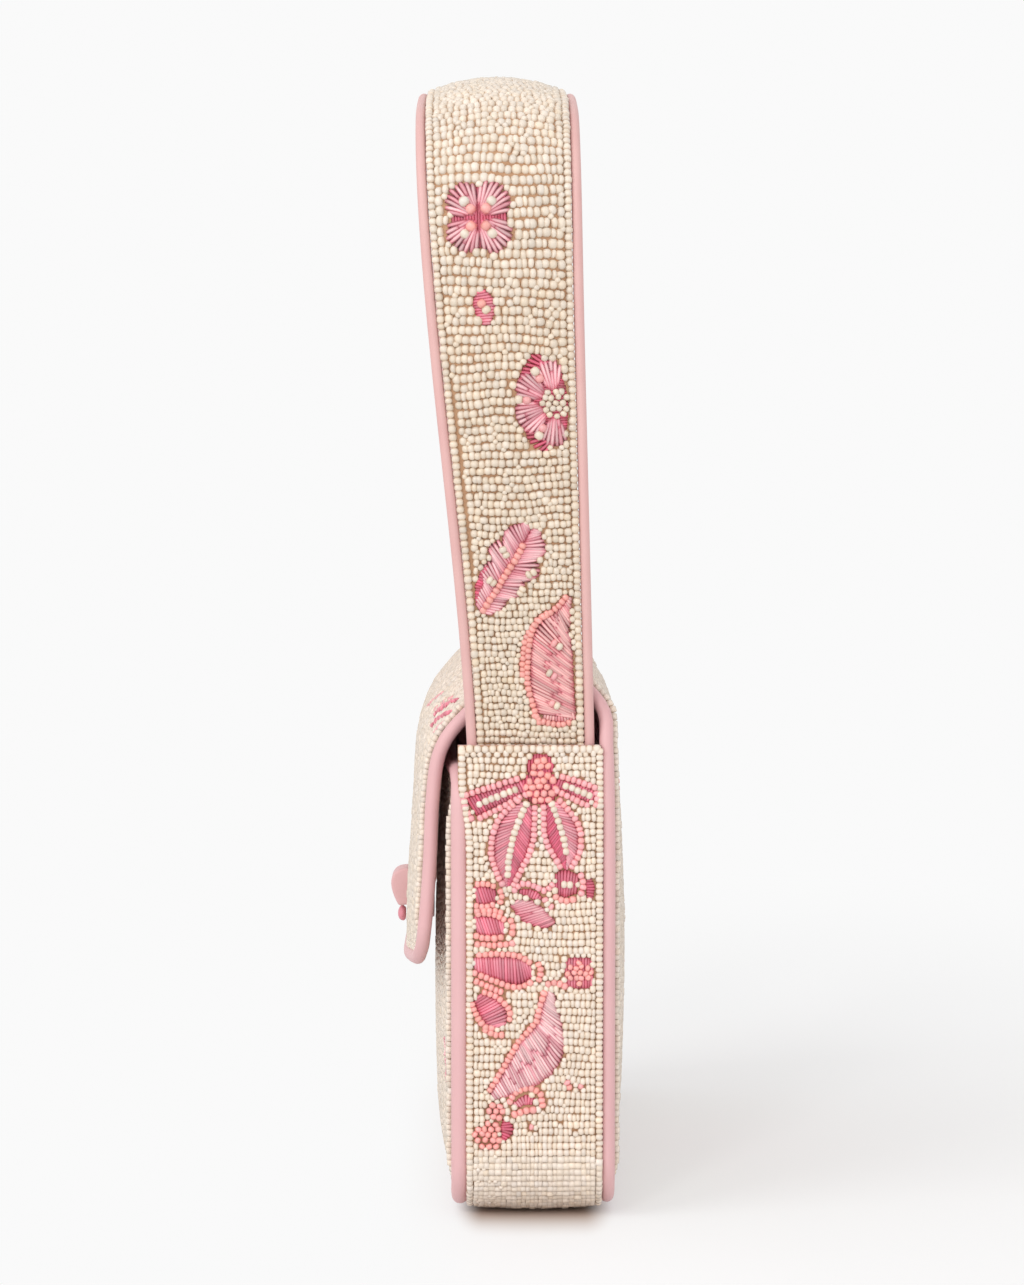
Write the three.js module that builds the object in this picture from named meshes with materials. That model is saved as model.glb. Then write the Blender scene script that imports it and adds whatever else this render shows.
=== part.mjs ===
// Beaded shoulder bag with a rounded flap, a wide arched strap and leather piping.
// Millimetres, +Z up. X runs along the bag's length and the front faces -Y.
// The origin is the middle of the base, on the surface that the bag stands on.

import * as THREE from 'three';
import { mergeVertices } from 'three/addons/utils/BufferGeometryUtils.js';

// Body
const BODY_LENGTH = 230;
const GUSSET_WIDTH = 42;
const GUSSET_HEIGHT = 149.5;
const GUSSET_TOP_ROUNDING = 2;
const BASE_CORNER_RADIUS = 18;
const BEADED_WALL = 3.2;

// Piping round the panels, set in from the gusset's outer face
const PIPING_RADIUS = 2.2;
const PIPING_INSET = 3.4;
const PIPING_SIDES = 8;
const SEAM_GAP = 0.35;
const SEAM_OFFSET = SEAM_GAP + PIPING_RADIUS;

// Front and back panels, and the flap that the back panel turns into
const SEAM_Y = GUSSET_WIDTH / 2 + SEAM_OFFSET;
const PANEL_HALF = BODY_LENGTH / 2 - PIPING_INSET - SEAM_OFFSET;
const PANEL_FOOT_Z = PIPING_INSET + SEAM_OFFSET;
const PANEL_CORNER_RADIUS = BASE_CORNER_RADIUS - PIPING_INSET - SEAM_OFFSET;
const FRONT_TOP_Z = 138;
const FRONT_TOP_CORNER_RADIUS = 8;
const FLAP_HALF = 100;
const FLAP_CORNER_RADIUS = 10;
const FLAP_NARROWS_FROM_Z = 141;
const FLAP_NARROWS_TO_Z = 167;
const FLAP_STARTS_Z = 171;
const FLAP_HANGS_Z = 131;
const HEM_SAG = 10;
const HEM_TIP_SOFTNESS = 0.2;
const PUFF_POWER = 2.4;

// Strap
const STRAP_WALL = 3.6;
const STRAP_PIPING_RADIUS = 1.6;
const STRAP_TUCK_Z = 116;
const STRAP_ROOT_WIDTH = 32.6;
const STRAP_TOP_WIDTH = 44.3;
const STRAP_TOP_CROWN = 4;
const STRAP_TOP_LEAN = -11.2;
const STRAP_WIDENS_FROM_Z = 130;
const STRAP_WIDENS_TO_Z = 350;
const STRAP_LEANS_FROM_Z = 110;
const STRAP_CROWNS_FROM_Z = 155;
const STRAP_TUCK_GAP = 0.4;
const ARCH_ROOT_HALF = BODY_LENGTH / 2 - BEADED_WALL - STRAP_TUCK_GAP - STRAP_WALL / 2;
const ARCH_HALF = 114.5;
const ARCH_WIDEST_Z = 250;
const ARCH_TOP_Z = 361;
const ARCH_TOP_SLOPE = 14;
const ARCH_SHOULDER_RADIUS = 42;

// Clasp on the middle of the flap
const CLASP_Z = 90.5;
const CLASP_GAP = 0.4;
const TAB_WIDTH = 14;
const TAB_RISE = 6.8;
const TAB_REACH = 5.6;
const KNOT_RADIUS = 2.8;
const KNOT_HEIGHT = 2.8;
const SNAP_Z = 86;
const SNAP_RADIUS = 6;
const SNAP_CLEARANCE = 0.55;

// The front panel from its foot to its upper edge: height and how far its middle swells out.
const FRONT_SECTIONS = [
  { z: PANEL_FOOT_Z, puff: 0 },
  { z: 16, puff: 5.4 },
  { z: 40, puff: 7 },
  { z: 80, puff: 7.2 },
  { z: 112, puff: 6.2 },
  { z: FRONT_TOP_Z, puff: 4.5 },
];

// The back panel and flap along their piped edge, from the foot of the back over the top to the hem,
// and how far the middle of each section swells out beyond that edge.
const WRAP_SECTIONS = [
  { y: SEAM_Y, z: PANEL_FOOT_Z, puff: 0 },
  { y: SEAM_Y, z: 26, puff: 5.2 },
  { y: SEAM_Y, z: 75, puff: 6.9 },
  { y: SEAM_Y, z: 118, puff: 5.6 },
  { y: SEAM_Y - 0.6, z: 147, puff: 3.8 },
  { y: 21.4, z: 161, puff: 2.6 },
  { y: 8, z: 171.5, puff: 4.5 },
  { y: -9, z: 167.5, puff: 10.5 },
  { y: -22.8, z: 156.2, puff: 10 },
  { y: -29.4, z: 146, puff: 7.4 },
  { y: -31.6, z: 131, puff: 6.4 },
  { y: -32.4, z: 113, puff: 6.7 },
  { y: -33.8, z: 94, puff: 6.5 },
  { y: -36.4, z: 73, puff: 4.2 },
];

const smoothstep = THREE.MathUtils.smoothstep;
const lerp = THREE.MathUtils.lerp;

const BEADWORK = { color: '#efe2cd', roughness: 0.4, metalness: 0 };
const LEATHER = { color: '#e6b4b6', roughness: 0.5, metalness: 0 };
const DEEP_LEATHER = { color: '#dc8f9c', roughness: 0.5, metalness: 0 };

function named(name, geometry, finish) {
  const mesh = new THREE.Mesh(geometry, new THREE.MeshStandardMaterial(finish));
  mesh.name = name;
  return mesh;
}

// A closed wall bent from a flat box. place(across, step, outer, spot) sets each corner of its grid:
// across runs from -1 to 1, step counts the rows and outer is true on the outside.
function bentWall(acrossSteps, rows, place) {
  const wall = new THREE.BoxGeometry(2, rows, 1, acrossSteps, rows, 1);
  wall.deleteAttribute('normal');
  wall.deleteAttribute('uv');
  const spots = wall.attributes.position;
  const spot = new THREE.Vector3();
  for (let i = 0; i < spots.count; i += 1) {
    spot.fromBufferAttribute(spots, i);
    place(spot.x, Math.round(spot.y + rows / 2), spot.z > 0, spot);
    spots.setXYZ(i, spot.x, spot.y, spot.z);
  }
  const merged = mergeVertices(wall);
  merged.computeVertexNormals();
  return merged;
}

// Rows of a panel with rounded corners: how far up each row lies, and how much its corners trim it.
// Each stretch between the corners has an end and a number of rows of its own.
function roundedRows(length, footRadius, headRadius, cornerSteps, stretches) {
  const rows = [];
  for (let k = 0; k < cornerSteps; k += 1) {
    const turn = (k / cornerSteps) * (Math.PI / 2);
    rows.push({ run: footRadius * (1 - Math.cos(turn)), trim: footRadius * (1 - Math.sin(turn)) });
  }
  let from = footRadius;
  rows.push({ run: from, trim: 0 });
  stretches.forEach(({ to, steps }) => {
    for (let k = 1; k <= steps; k += 1) rows.push({ run: lerp(from, to, k / steps), trim: 0 });
    from = to;
  });
  for (let k = cornerSteps - 1; k >= 0; k -= 1) {
    const turn = (k / cornerSteps) * (Math.PI / 2);
    const run = length - headRadius * (1 - Math.cos(turn));
    rows.push({ run, trim: headRadius * (1 - Math.sin(turn)) });
  }
  return rows;
}

// How much of its full swelling a panel has at x.
function swelling(x, half) {
  return Math.max(0, 1 - Math.abs(x / half) ** PUFF_POWER);
}

// A smooth surface that follows a line of sections in the YZ plane and swells between its two edges.
class PuffedSheet {
  constructor(sections, outward) {
    this.line = new THREE.SplineCurve(sections.map((s) => new THREE.Vector2(s.y, s.z)));
    this.line.arcLengthDivisions = 400;
    this.puffs = new THREE.SplineCurve(sections.map((s, k) => new THREE.Vector2(k, s.puff)));
    this.length = this.line.getLength();
    this.outward = outward;
  }

  // The length along the line at which it reaches a height, searched from one end.
  runAtHeight(z, fromHem = false) {
    const step = fromHem ? -0.25 : 0.25;
    let run = fromHem ? this.length : 0;
    const side = Math.sign(this.section(run).point.y - z);
    while (Math.sign(this.section(run).point.y - z) === side) run += step;
    return run;
  }

  section(run) {
    const kept = THREE.MathUtils.clamp(run, 0, this.length);
    const knot = this.line.getUtoTmapping(kept / this.length);
    const tangent = this.line.getTangent(knot);
    const point = this.line.getPoint(knot).addScaledVector(tangent, run - kept);
    const normal = new THREE.Vector2(tangent.y, -tangent.x).multiplyScalar(this.outward);
    return { point, normal, puff: this.puffs.getPoint(knot).y };
  }

  at(x, run, half, lift) {
    const { point, normal, puff } = this.section(run);
    const out = puff * swelling(x, half) + lift;
    return new THREE.Vector3(x, point.x + normal.x * out, point.y + normal.y * out);
  }
}

// The tube of piping round a closed outline of (x, run) points, just outside it on the sheet.
function pipingRound(outline, radius, segments, place) {
  const spots = outline.map((here, i) => {
    const next = outline[(i + 1) % outline.length];
    const last = outline[(i + outline.length - 1) % outline.length];
    const along = next.clone().sub(last).normalize();
    return place(here.x + along.y * SEAM_OFFSET, here.y - along.x * SEAM_OFFSET);
  });
  const path = new THREE.CatmullRomCurve3(spots, true, 'centripetal');
  const tube = new THREE.TubeGeometry(path, segments, radius, PIPING_SIDES, true);
  tube.deleteAttribute('normal');
  tube.deleteAttribute('uv');
  return mergeVertices(tube);
}

// The outline of a sheet's rows, anticlockwise in (x, run), with points spread along its two ends.
function outlineOf(rows, halfAt, runAt, endSteps) {
  const outline = [];
  const right = rows.map((row) => ({ run: row.run, x: halfAt(row) }));
  const foot = right[0];
  const head = right[right.length - 1];
  for (let k = 1 - endSteps; k < endSteps; k += 2) outline.push([foot.x * (k / endSteps), foot.run]);
  right.forEach((spot) => outline.push([spot.x, spot.run]));
  for (let k = endSteps - 1; k > -endSteps; k -= 2) outline.push([head.x * (k / endSteps), head.run]);
  right.reverse().forEach((spot) => outline.push([-spot.x, spot.run]));
  return outline.map(([x, run]) => new THREE.Vector2(x, runAt(x, run)));
}

function makeFrontPanel() {
  const sheet = new PuffedSheet(FRONT_SECTIONS.map((s) => ({ y: -SEAM_Y, z: s.z, puff: s.puff })), -1);
  const stretches = [{ to: sheet.length - FRONT_TOP_CORNER_RADIUS, steps: 8 }];
  const rows = roundedRows(sheet.length, PANEL_CORNER_RADIUS, FRONT_TOP_CORNER_RADIUS, 4, stretches);
  const halfAt = (row) => PANEL_HALF - row.trim;
  const wall = bentWall(14, rows.length - 1, (across, step, outer, spot) => {
    const lift = (outer ? 0.5 : -0.5) * BEADED_WALL;
    spot.copy(sheet.at(across * halfAt(rows[step]), rows[step].run, PANEL_HALF, lift));
  });
  const outline = outlineOf(rows, halfAt, (x, run) => run, 8);
  const piping = pipingRound(outline, PIPING_RADIUS, 118, (x, run) => sheet.at(x, run, PANEL_HALF, 0));
  return { sheet, wall, piping };
}

function makeBackFlap() {
  const sheet = new PuffedSheet(WRAP_SECTIONS, 1);
  const narrowsFrom = sheet.runAtHeight(FLAP_NARROWS_FROM_Z);
  const narrowsTo = sheet.runAtHeight(FLAP_NARROWS_TO_Z);
  const flapStart = sheet.runAtHeight(FLAP_STARTS_Z);
  const halfAtRun = (run) => lerp(PANEL_HALF, FLAP_HALF, smoothstep(run, narrowsFrom, narrowsTo));
  const halfAt = (row) => halfAtRun(row.run) - row.trim;
  // The hem is a soft point, lowest in the middle, and the flap's rows bend towards it from the top.
  const tip = (x) => Math.hypot(x / FLAP_HALF, HEM_TIP_SOFTNESS) - HEM_TIP_SOFTNESS;
  const runAt = (x, run) => {
    const share = Math.max(0, (run - flapStart) / (sheet.length - flapStart));
    return run - (HEM_SAG * share * tip(x)) / tip(FLAP_HALF);
  };
  const stretches = [
    { to: narrowsFrom, steps: 8 },
    { to: sheet.runAtHeight(FLAP_HANGS_Z, true), steps: 15 },
    { to: sheet.length - FLAP_CORNER_RADIUS, steps: 4 },
  ];
  const rows = roundedRows(sheet.length, PANEL_CORNER_RADIUS, FLAP_CORNER_RADIUS, 4, stretches);
  const wall = bentWall(14, rows.length - 1, (across, step, outer, spot) => {
    const x = -across * halfAt(rows[step]);
    const lift = (outer ? 0.5 : -0.5) * BEADED_WALL;
    spot.copy(sheet.at(x, runAt(x, rows[step].run), halfAtRun(rows[step].run), lift));
  });
  const outline = outlineOf(rows, halfAt, runAt, 8);
  const piping = pipingRound(
    outline, PIPING_RADIUS, 176, (x, run) => sheet.at(x, run, halfAtRun(run), 0));
  return { sheet, wall, piping };
}

// The gusset is one band: down one side, along the base and up the other side. Each station lies
// one corner radius out from its centre, in the direction of its angle.
function makeGusset() {
  const reach = BODY_LENGTH / 2 - BASE_CORNER_RADIUS;
  const cornerSteps = 6;
  const right = [];
  for (let k = 0; k <= cornerSteps; k += 1) {
    const angle = ((k / cornerSteps - 1) * Math.PI) / 2;
    right.push({ x: reach, z: BASE_CORNER_RADIUS, angle, trim: 0 });
  }
  right.push({ x: reach, z: GUSSET_HEIGHT - GUSSET_TOP_ROUNDING, angle: 0, trim: 0 });
  right.push({ x: reach, z: GUSSET_HEIGHT, angle: 0, trim: GUSSET_TOP_ROUNDING });
  const left = right.map((s) => ({ ...s, x: -s.x, angle: Math.PI - s.angle })).reverse();
  const stations = [...left, ...right];
  return bentWall(2, stations.length - 1, (across, step, outer, spot) => {
    const { x, z, angle, trim } = stations[step];
    const out = BASE_CORNER_RADIUS - (outer ? 0 : BEADED_WALL);
    spot.set(x + out * Math.cos(angle), across * (GUSSET_WIDTH / 2 - trim), z + out * Math.sin(angle));
  });
}

// The strap's line from one tucked end over the top to the other, in the XZ plane: upright legs that
// lean out a little, a round shoulder on each, and a shallow arc over the top.
function strapLine() {
  const slope = THREE.MathUtils.degToRad(ARCH_TOP_SLOPE);
  const shoulderX = ARCH_HALF - ARCH_SHOULDER_RADIUS;
  const topRadius = (shoulderX + ARCH_SHOULDER_RADIUS * Math.sin(slope)) / Math.sin(slope);
  const topCentreZ = ARCH_TOP_Z - topRadius;
  const shoulderZ = topCentreZ + (topRadius - ARCH_SHOULDER_RADIUS) * Math.cos(slope);
  const right = [[ARCH_ROOT_HALF, STRAP_TUCK_Z], [ARCH_ROOT_HALF, (STRAP_TUCK_Z + GUSSET_HEIGHT) / 2]];
  const legSteps = 6;
  for (let k = 0; k < legSteps; k += 1) {
    const z = lerp(GUSSET_HEIGHT, shoulderZ, k / legSteps);
    right.push([lerp(ARCH_ROOT_HALF, ARCH_HALF, smoothstep(z, GUSSET_HEIGHT, ARCH_WIDEST_Z)), z]);
  }
  const shoulderSteps = 7;
  for (let k = 0; k < shoulderSteps; k += 1) {
    const turn = (Math.PI / 2 - slope) * (k / shoulderSteps);
    right.push([
      shoulderX + ARCH_SHOULDER_RADIUS * Math.cos(turn), shoulderZ + ARCH_SHOULDER_RADIUS * Math.sin(turn)]);
  }
  const topSteps = 4;
  for (let k = 0; k < topSteps; k += 1) {
    const turn = slope * (1 - k / topSteps);
    right.push([topRadius * Math.sin(turn), topCentreZ + topRadius * Math.cos(turn)]);
  }
  const left = right.map(([x, z]) => [-x, z]).reverse();
  const spots = [...right, [0, ARCH_TOP_Z], ...left].map(([x, z]) => new THREE.Vector3(x, 0, z));
  const line = new THREE.CatmullRomCurve3(spots, false, 'centripetal');
  line.arcLengthDivisions = 600;
  return line;
}

// A spot on the strap: side is measured from its middle line in half widths, beyond adds to that in mm.
function strapSpot(line, share, side, beyond, lift) {
  const point = line.getPointAt(share);
  const tangent = line.getTangentAt(share);
  const rise = smoothstep(point.z, STRAP_WIDENS_FROM_Z, STRAP_WIDENS_TO_Z);
  const half = lerp(STRAP_ROOT_WIDTH, STRAP_TOP_WIDTH, rise) / 2;
  const crown = STRAP_TOP_CROWN * smoothstep(point.z, STRAP_CROWNS_FROM_Z, STRAP_WIDENS_TO_Z);
  const lean = STRAP_TOP_LEAN * smoothstep(point.z, STRAP_LEANS_FROM_Z, ARCH_TOP_Z);
  const out = lift + (lift > 0 ? crown * (1 - side * side) : 0);
  return new THREE.Vector3(
    point.x + tangent.z * out, lean + side * half + Math.sign(side) * beyond, point.z - tangent.x * out);
}

function makeStrap(line) {
  const rows = 54;
  return bentWall(6, rows, (across, step, outer, spot) => {
    spot.copy(strapSpot(line, step / rows, across, 0, (outer ? 0.5 : -0.5) * STRAP_WALL));
  });
}

function makeStrapPiping(line, side) {
  const steps = 58;
  const beyond = SEAM_GAP + STRAP_PIPING_RADIUS;
  const spots = [];
  for (let k = 0; k <= steps; k += 1) spots.push(strapSpot(line, k / steps, side, beyond, 0));
  const section = new THREE.Shape();
  section.absarc(0, 0, STRAP_PIPING_RADIUS, 0, 2 * Math.PI);
  const extrudePath = new THREE.CatmullRomCurve3(spots, false, 'centripetal');
  return new THREE.ExtrudeGeometry(section, { steps, extrudePath, curveSegments: PIPING_SIDES / 2 });
}

// A leather tab folded over on itself, drawn as (reach from the flap, height) and extruded.
function makeClaspTab() {
  const tab = new THREE.Shape();
  tab.moveTo(0, TAB_RISE);
  tab.bezierCurveTo(TAB_REACH, TAB_RISE, TAB_REACH * 1.3, 0.2 * TAB_RISE, 0.6 * TAB_REACH, -TAB_RISE);
  tab.lineTo(0, -TAB_RISE);
  tab.closePath();
  const options = { depth: TAB_WIDTH, bevelEnabled: false, curveSegments: 12 };
  const geometry = new THREE.ExtrudeGeometry(tab, options);
  geometry.translate(0, 0, -TAB_WIDTH / 2);
  return geometry;
}

function makeClaspKnot() {
  const profile = [new THREE.Vector2(0, 0)];
  const steps = 5;
  for (let k = 0; k <= steps; k += 1) {
    const turn = (k / steps) * (Math.PI / 2);
    const height = KNOT_HEIGHT * (0.3 + 0.7 * Math.sin(turn));
    profile.push(new THREE.Vector2(KNOT_RADIUS * Math.cos(turn), height));
  }
  profile.splice(1, 0, new THREE.Vector2(0.8 * KNOT_RADIUS, 0));
  profile[profile.length - 1].x = 0;
  return new THREE.LatheGeometry(profile, 14);
}

// The clasp's group stands on the middle of the flap, with its own X axis pointing out of the flap.
function makeClasp(flapSheet) {
  const run = flapSheet.runAtHeight(CLASP_Z, true);
  const onFlap = (down) => flapSheet.at(0, run + down, FLAP_HALF, BEADED_WALL / 2 + CLASP_GAP);
  const clasp = new THREE.Group();
  clasp.position.copy(onFlap(0));
  const up = onFlap(-TAB_RISE).sub(onFlap(TAB_RISE)).normalize();
  const across = new THREE.Vector3(1, 0, 0);
  const out = new THREE.Vector3().crossVectors(across, up);
  clasp.setRotationFromMatrix(new THREE.Matrix4().makeBasis(out, up, across.clone().negate()));
  clasp.add(named('clasp_tab', makeClaspTab(), LEATHER));
  const knot = named('clasp_knot', makeClaspKnot(), DEEP_LEATHER);
  knot.rotation.z = -Math.PI / 2;
  knot.position.y = -TAB_RISE - CLASP_GAP - KNOT_RADIUS;
  clasp.add(knot);
  return clasp;
}

// A short round snap that holds the flap off the front panel, behind the clasp.
function makeSnap(frontSheet, flapSheet) {
  const front = frontSheet.at(0, frontSheet.runAtHeight(SNAP_Z), PANEL_HALF, BEADED_WALL / 2);
  const flap = flapSheet.at(0, flapSheet.runAtHeight(SNAP_Z, true), FLAP_HALF, -BEADED_WALL / 2);
  const length = front.y - flap.y - 2 * SNAP_CLEARANCE;
  const post = new THREE.CylinderGeometry(SNAP_RADIUS, SNAP_RADIUS, length, 16);
  const snap = named('snap_post', post, LEATHER);
  snap.position.set(0, (front.y + flap.y) / 2, front.z);
  return snap;
}

const front = makeFrontPanel();
const backFlap = makeBackFlap();
const strapPath = strapLine();

const bag = new THREE.Group();
bag.add(
  named('front_panel', front.wall, BEADWORK),
  named('front_piping', front.piping, LEATHER),
  named('back_flap', backFlap.wall, BEADWORK),
  named('back_flap_piping', backFlap.piping, LEATHER),
  named('gusset', makeGusset(), BEADWORK),
  named('strap', makeStrap(strapPath), BEADWORK),
  named('strap_piping_front', makeStrapPiping(strapPath, -1), LEATHER),
  named('strap_piping_back', makeStrapPiping(strapPath, 1), LEATHER),
  makeClasp(backFlap.sheet),
  makeSnap(front.sheet, backFlap.sheet),
);

export default bag;
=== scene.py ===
"""Dresses the beaded shoulder bag: glass beads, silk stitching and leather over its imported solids.

Sizes are millimetres until a mesh is made. Each beaded wall has its own flat coordinates: u across
its rows and v along it, and everything sewn to it is laid out in those.
"""
import logging
import math
from dataclasses import dataclass, field
from enum import Enum
from typing import Callable, Optional, Sequence, Union

import bmesh
import bpy
import numpy as np
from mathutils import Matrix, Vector, kdtree


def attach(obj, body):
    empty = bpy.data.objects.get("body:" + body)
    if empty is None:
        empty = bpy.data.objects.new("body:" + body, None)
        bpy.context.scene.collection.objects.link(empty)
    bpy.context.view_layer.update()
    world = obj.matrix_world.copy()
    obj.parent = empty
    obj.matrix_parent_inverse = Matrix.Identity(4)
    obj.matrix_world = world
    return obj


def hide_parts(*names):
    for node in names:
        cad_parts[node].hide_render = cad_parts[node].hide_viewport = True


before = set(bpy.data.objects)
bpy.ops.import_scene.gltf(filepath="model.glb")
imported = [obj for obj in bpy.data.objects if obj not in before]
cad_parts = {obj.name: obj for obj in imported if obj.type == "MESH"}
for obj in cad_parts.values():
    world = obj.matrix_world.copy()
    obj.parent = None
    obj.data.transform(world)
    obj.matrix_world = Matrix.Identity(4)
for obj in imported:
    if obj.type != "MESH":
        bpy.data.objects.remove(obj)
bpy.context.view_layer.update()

log = logging.getLogger("bag")

MM = 0.001
BODY = "root"
BAKE_MAP = "OFBake"
BAKE_MARGIN = 0.1
TINT = "tint"
FINE_DETAIL = 3.0
LINE_STEP = 0.2
LEAST_POINTS = 8
SAME_PLACE = 1e-3
NEARLY_ZERO = 1e-6

Point = tuple[float, float]
Triple = tuple[float, float, float]
Row = tuple[float, float, float, float]
Counts = tuple[int, int]
Colour = tuple[int, int, int]
Array = np.ndarray
Along = Callable[[Array], Array]
Height = Union[Array, float]
Material = bpy.types.Material
Mesh = bpy.types.Mesh


class Glass(Enum):
    """Colours of the seed beads, as 8-bit display values."""

    IVORY = (223, 207, 191)
    CORAL = (237, 159, 152)
    PINK = (233, 161, 165)


class Silk(Enum):
    """Colours of the stitched silk, as 8-bit display values."""

    BLUSH = (226, 190, 189)
    ROSE = (214, 116, 136)
    MAGENTA = (196, 58, 98)
    MAUVE = (216, 146, 156)
    PEACH = (222, 170, 164)


class Edge(Enum):
    """Which sides of a stitched shape are lined with beads."""

    NONE = ()
    LEFT = (1,)
    RIGHT = (-1,)
    BOTH = (1, -1)


# Small maths


def to_linear(colour: Colour) -> Array:
    """Turn an 8-bit display colour into the three linear values that shaders use."""
    share = np.asarray(colour, float) / 255
    return np.where(share <= 0.04045, share / 12.92, ((share + 0.055) / 1.055) ** 2.4)


def ease(x: Array, low: float, high: float) -> Array:
    """Rise smoothly from 0 to 1 as x goes from low to high."""
    share = np.clip((np.asarray(x, float) - low) / (high - low), 0, 1)
    return share * share * (3 - 2 * share)


def knot_spline(knots: Array, at: Array) -> Array:
    """Follow a uniform Catmull-Rom spline through rows of values.

    Args:
        knots: One row for each knot.
        at: Places along the spline, counted in knots from 0.

    Returns:
        One row of values for each place.
    """
    last = len(knots) - 1
    first = np.clip(np.floor(at).astype(int), 0, last - 1)
    share = (at - first)[:, None]
    p0 = knots[np.maximum(first - 1, 0)]
    p1 = knots[first]
    p2 = knots[first + 1]
    p3 = knots[np.minimum(first + 2, last)]
    leave = (p2 - p0) / 2
    arrive = (p3 - p1) / 2
    cubic = 2 * p1 - 2 * p2 + leave + arrive
    square = -3 * p1 + 3 * p2 - 2 * leave - arrive
    return ((cubic * share + square) * share + leave) * share + p1


def lengths_along(points: Array) -> Array:
    """Give the distance from the first point to each point of a line."""
    steps = np.linalg.norm(np.diff(points, axis=0), axis=1)
    return np.concatenate([[0.0], np.cumsum(steps)])


def look_up(at: Array, run: Array, values: Array) -> Array:
    """Read a row of values at each place along a run of rising distances."""
    return np.stack([np.interp(at, run, column) for column in values.T], axis=-1)


def unit(vectors: Array) -> Array:
    """Scale each row to length 1."""
    return vectors / np.linalg.norm(vectors, axis=-1, keepdims=True)


def smooth_line(points: Array) -> Array:
    """Run a spline through a few points, and give closely spaced points along it."""
    count = max(LEAST_POINTS, int(lengths_along(points)[-1] / LINE_STEP))
    return knot_spline(points, np.linspace(0, len(points) - 1, count))


def inside(points: Array, outline: Array) -> Array:
    """Tell which points lie within a closed outline.

    Args:
        points: Rows of (u, v).
        outline: Rows of (u, v) round the outline.

    Returns:
        True for each point that lies inside.
    """
    start = outline[None, :, :]
    end = np.roll(outline, -1, axis=0)[None, :, :]
    u, v = points[:, :1], points[:, 1:]
    spans = (start[..., 1] > v) != (end[..., 1] > v)
    rise = np.where(end[..., 1] == start[..., 1], 1e-9, end[..., 1] - start[..., 1])
    crossing = start[..., 0] + (v - start[..., 1]) * (end[..., 0] - start[..., 0]) / rise
    return np.sum(spans & (u < crossing), axis=1) % 2 == 1


# Shader building


class Signal:
    """A shader socket that takes part in Python arithmetic."""

    def __init__(self, graph: "ShaderGraph", socket: bpy.types.NodeSocket) -> None:
        """Wrap an output socket of a node in the graph."""
        self.graph = graph
        self.socket = socket

    def _math(self, operation: str, first: "Operand", second: "Operand") -> "Signal":
        """Add a Math node for one operation."""
        return self.graph.node("ShaderNodeMath", {"operation": operation}, {0: first, 1: second})

    def __add__(self, other: "Operand") -> "Signal":
        """Add a value."""
        return self._math("ADD", self, other)

    __radd__ = __add__

    def __mul__(self, other: "Operand") -> "Signal":
        """Multiply by a value."""
        return self._math("MULTIPLY", self, other)

    __rmul__ = __mul__

    def __sub__(self, other: "Operand") -> "Signal":
        """Take a value away."""
        return self._math("SUBTRACT", self, other)

    def __rsub__(self, other: "Operand") -> "Signal":
        """Take this signal away from a value."""
        return self._math("SUBTRACT", other, self)


Operand = Union[Signal, float]


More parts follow.
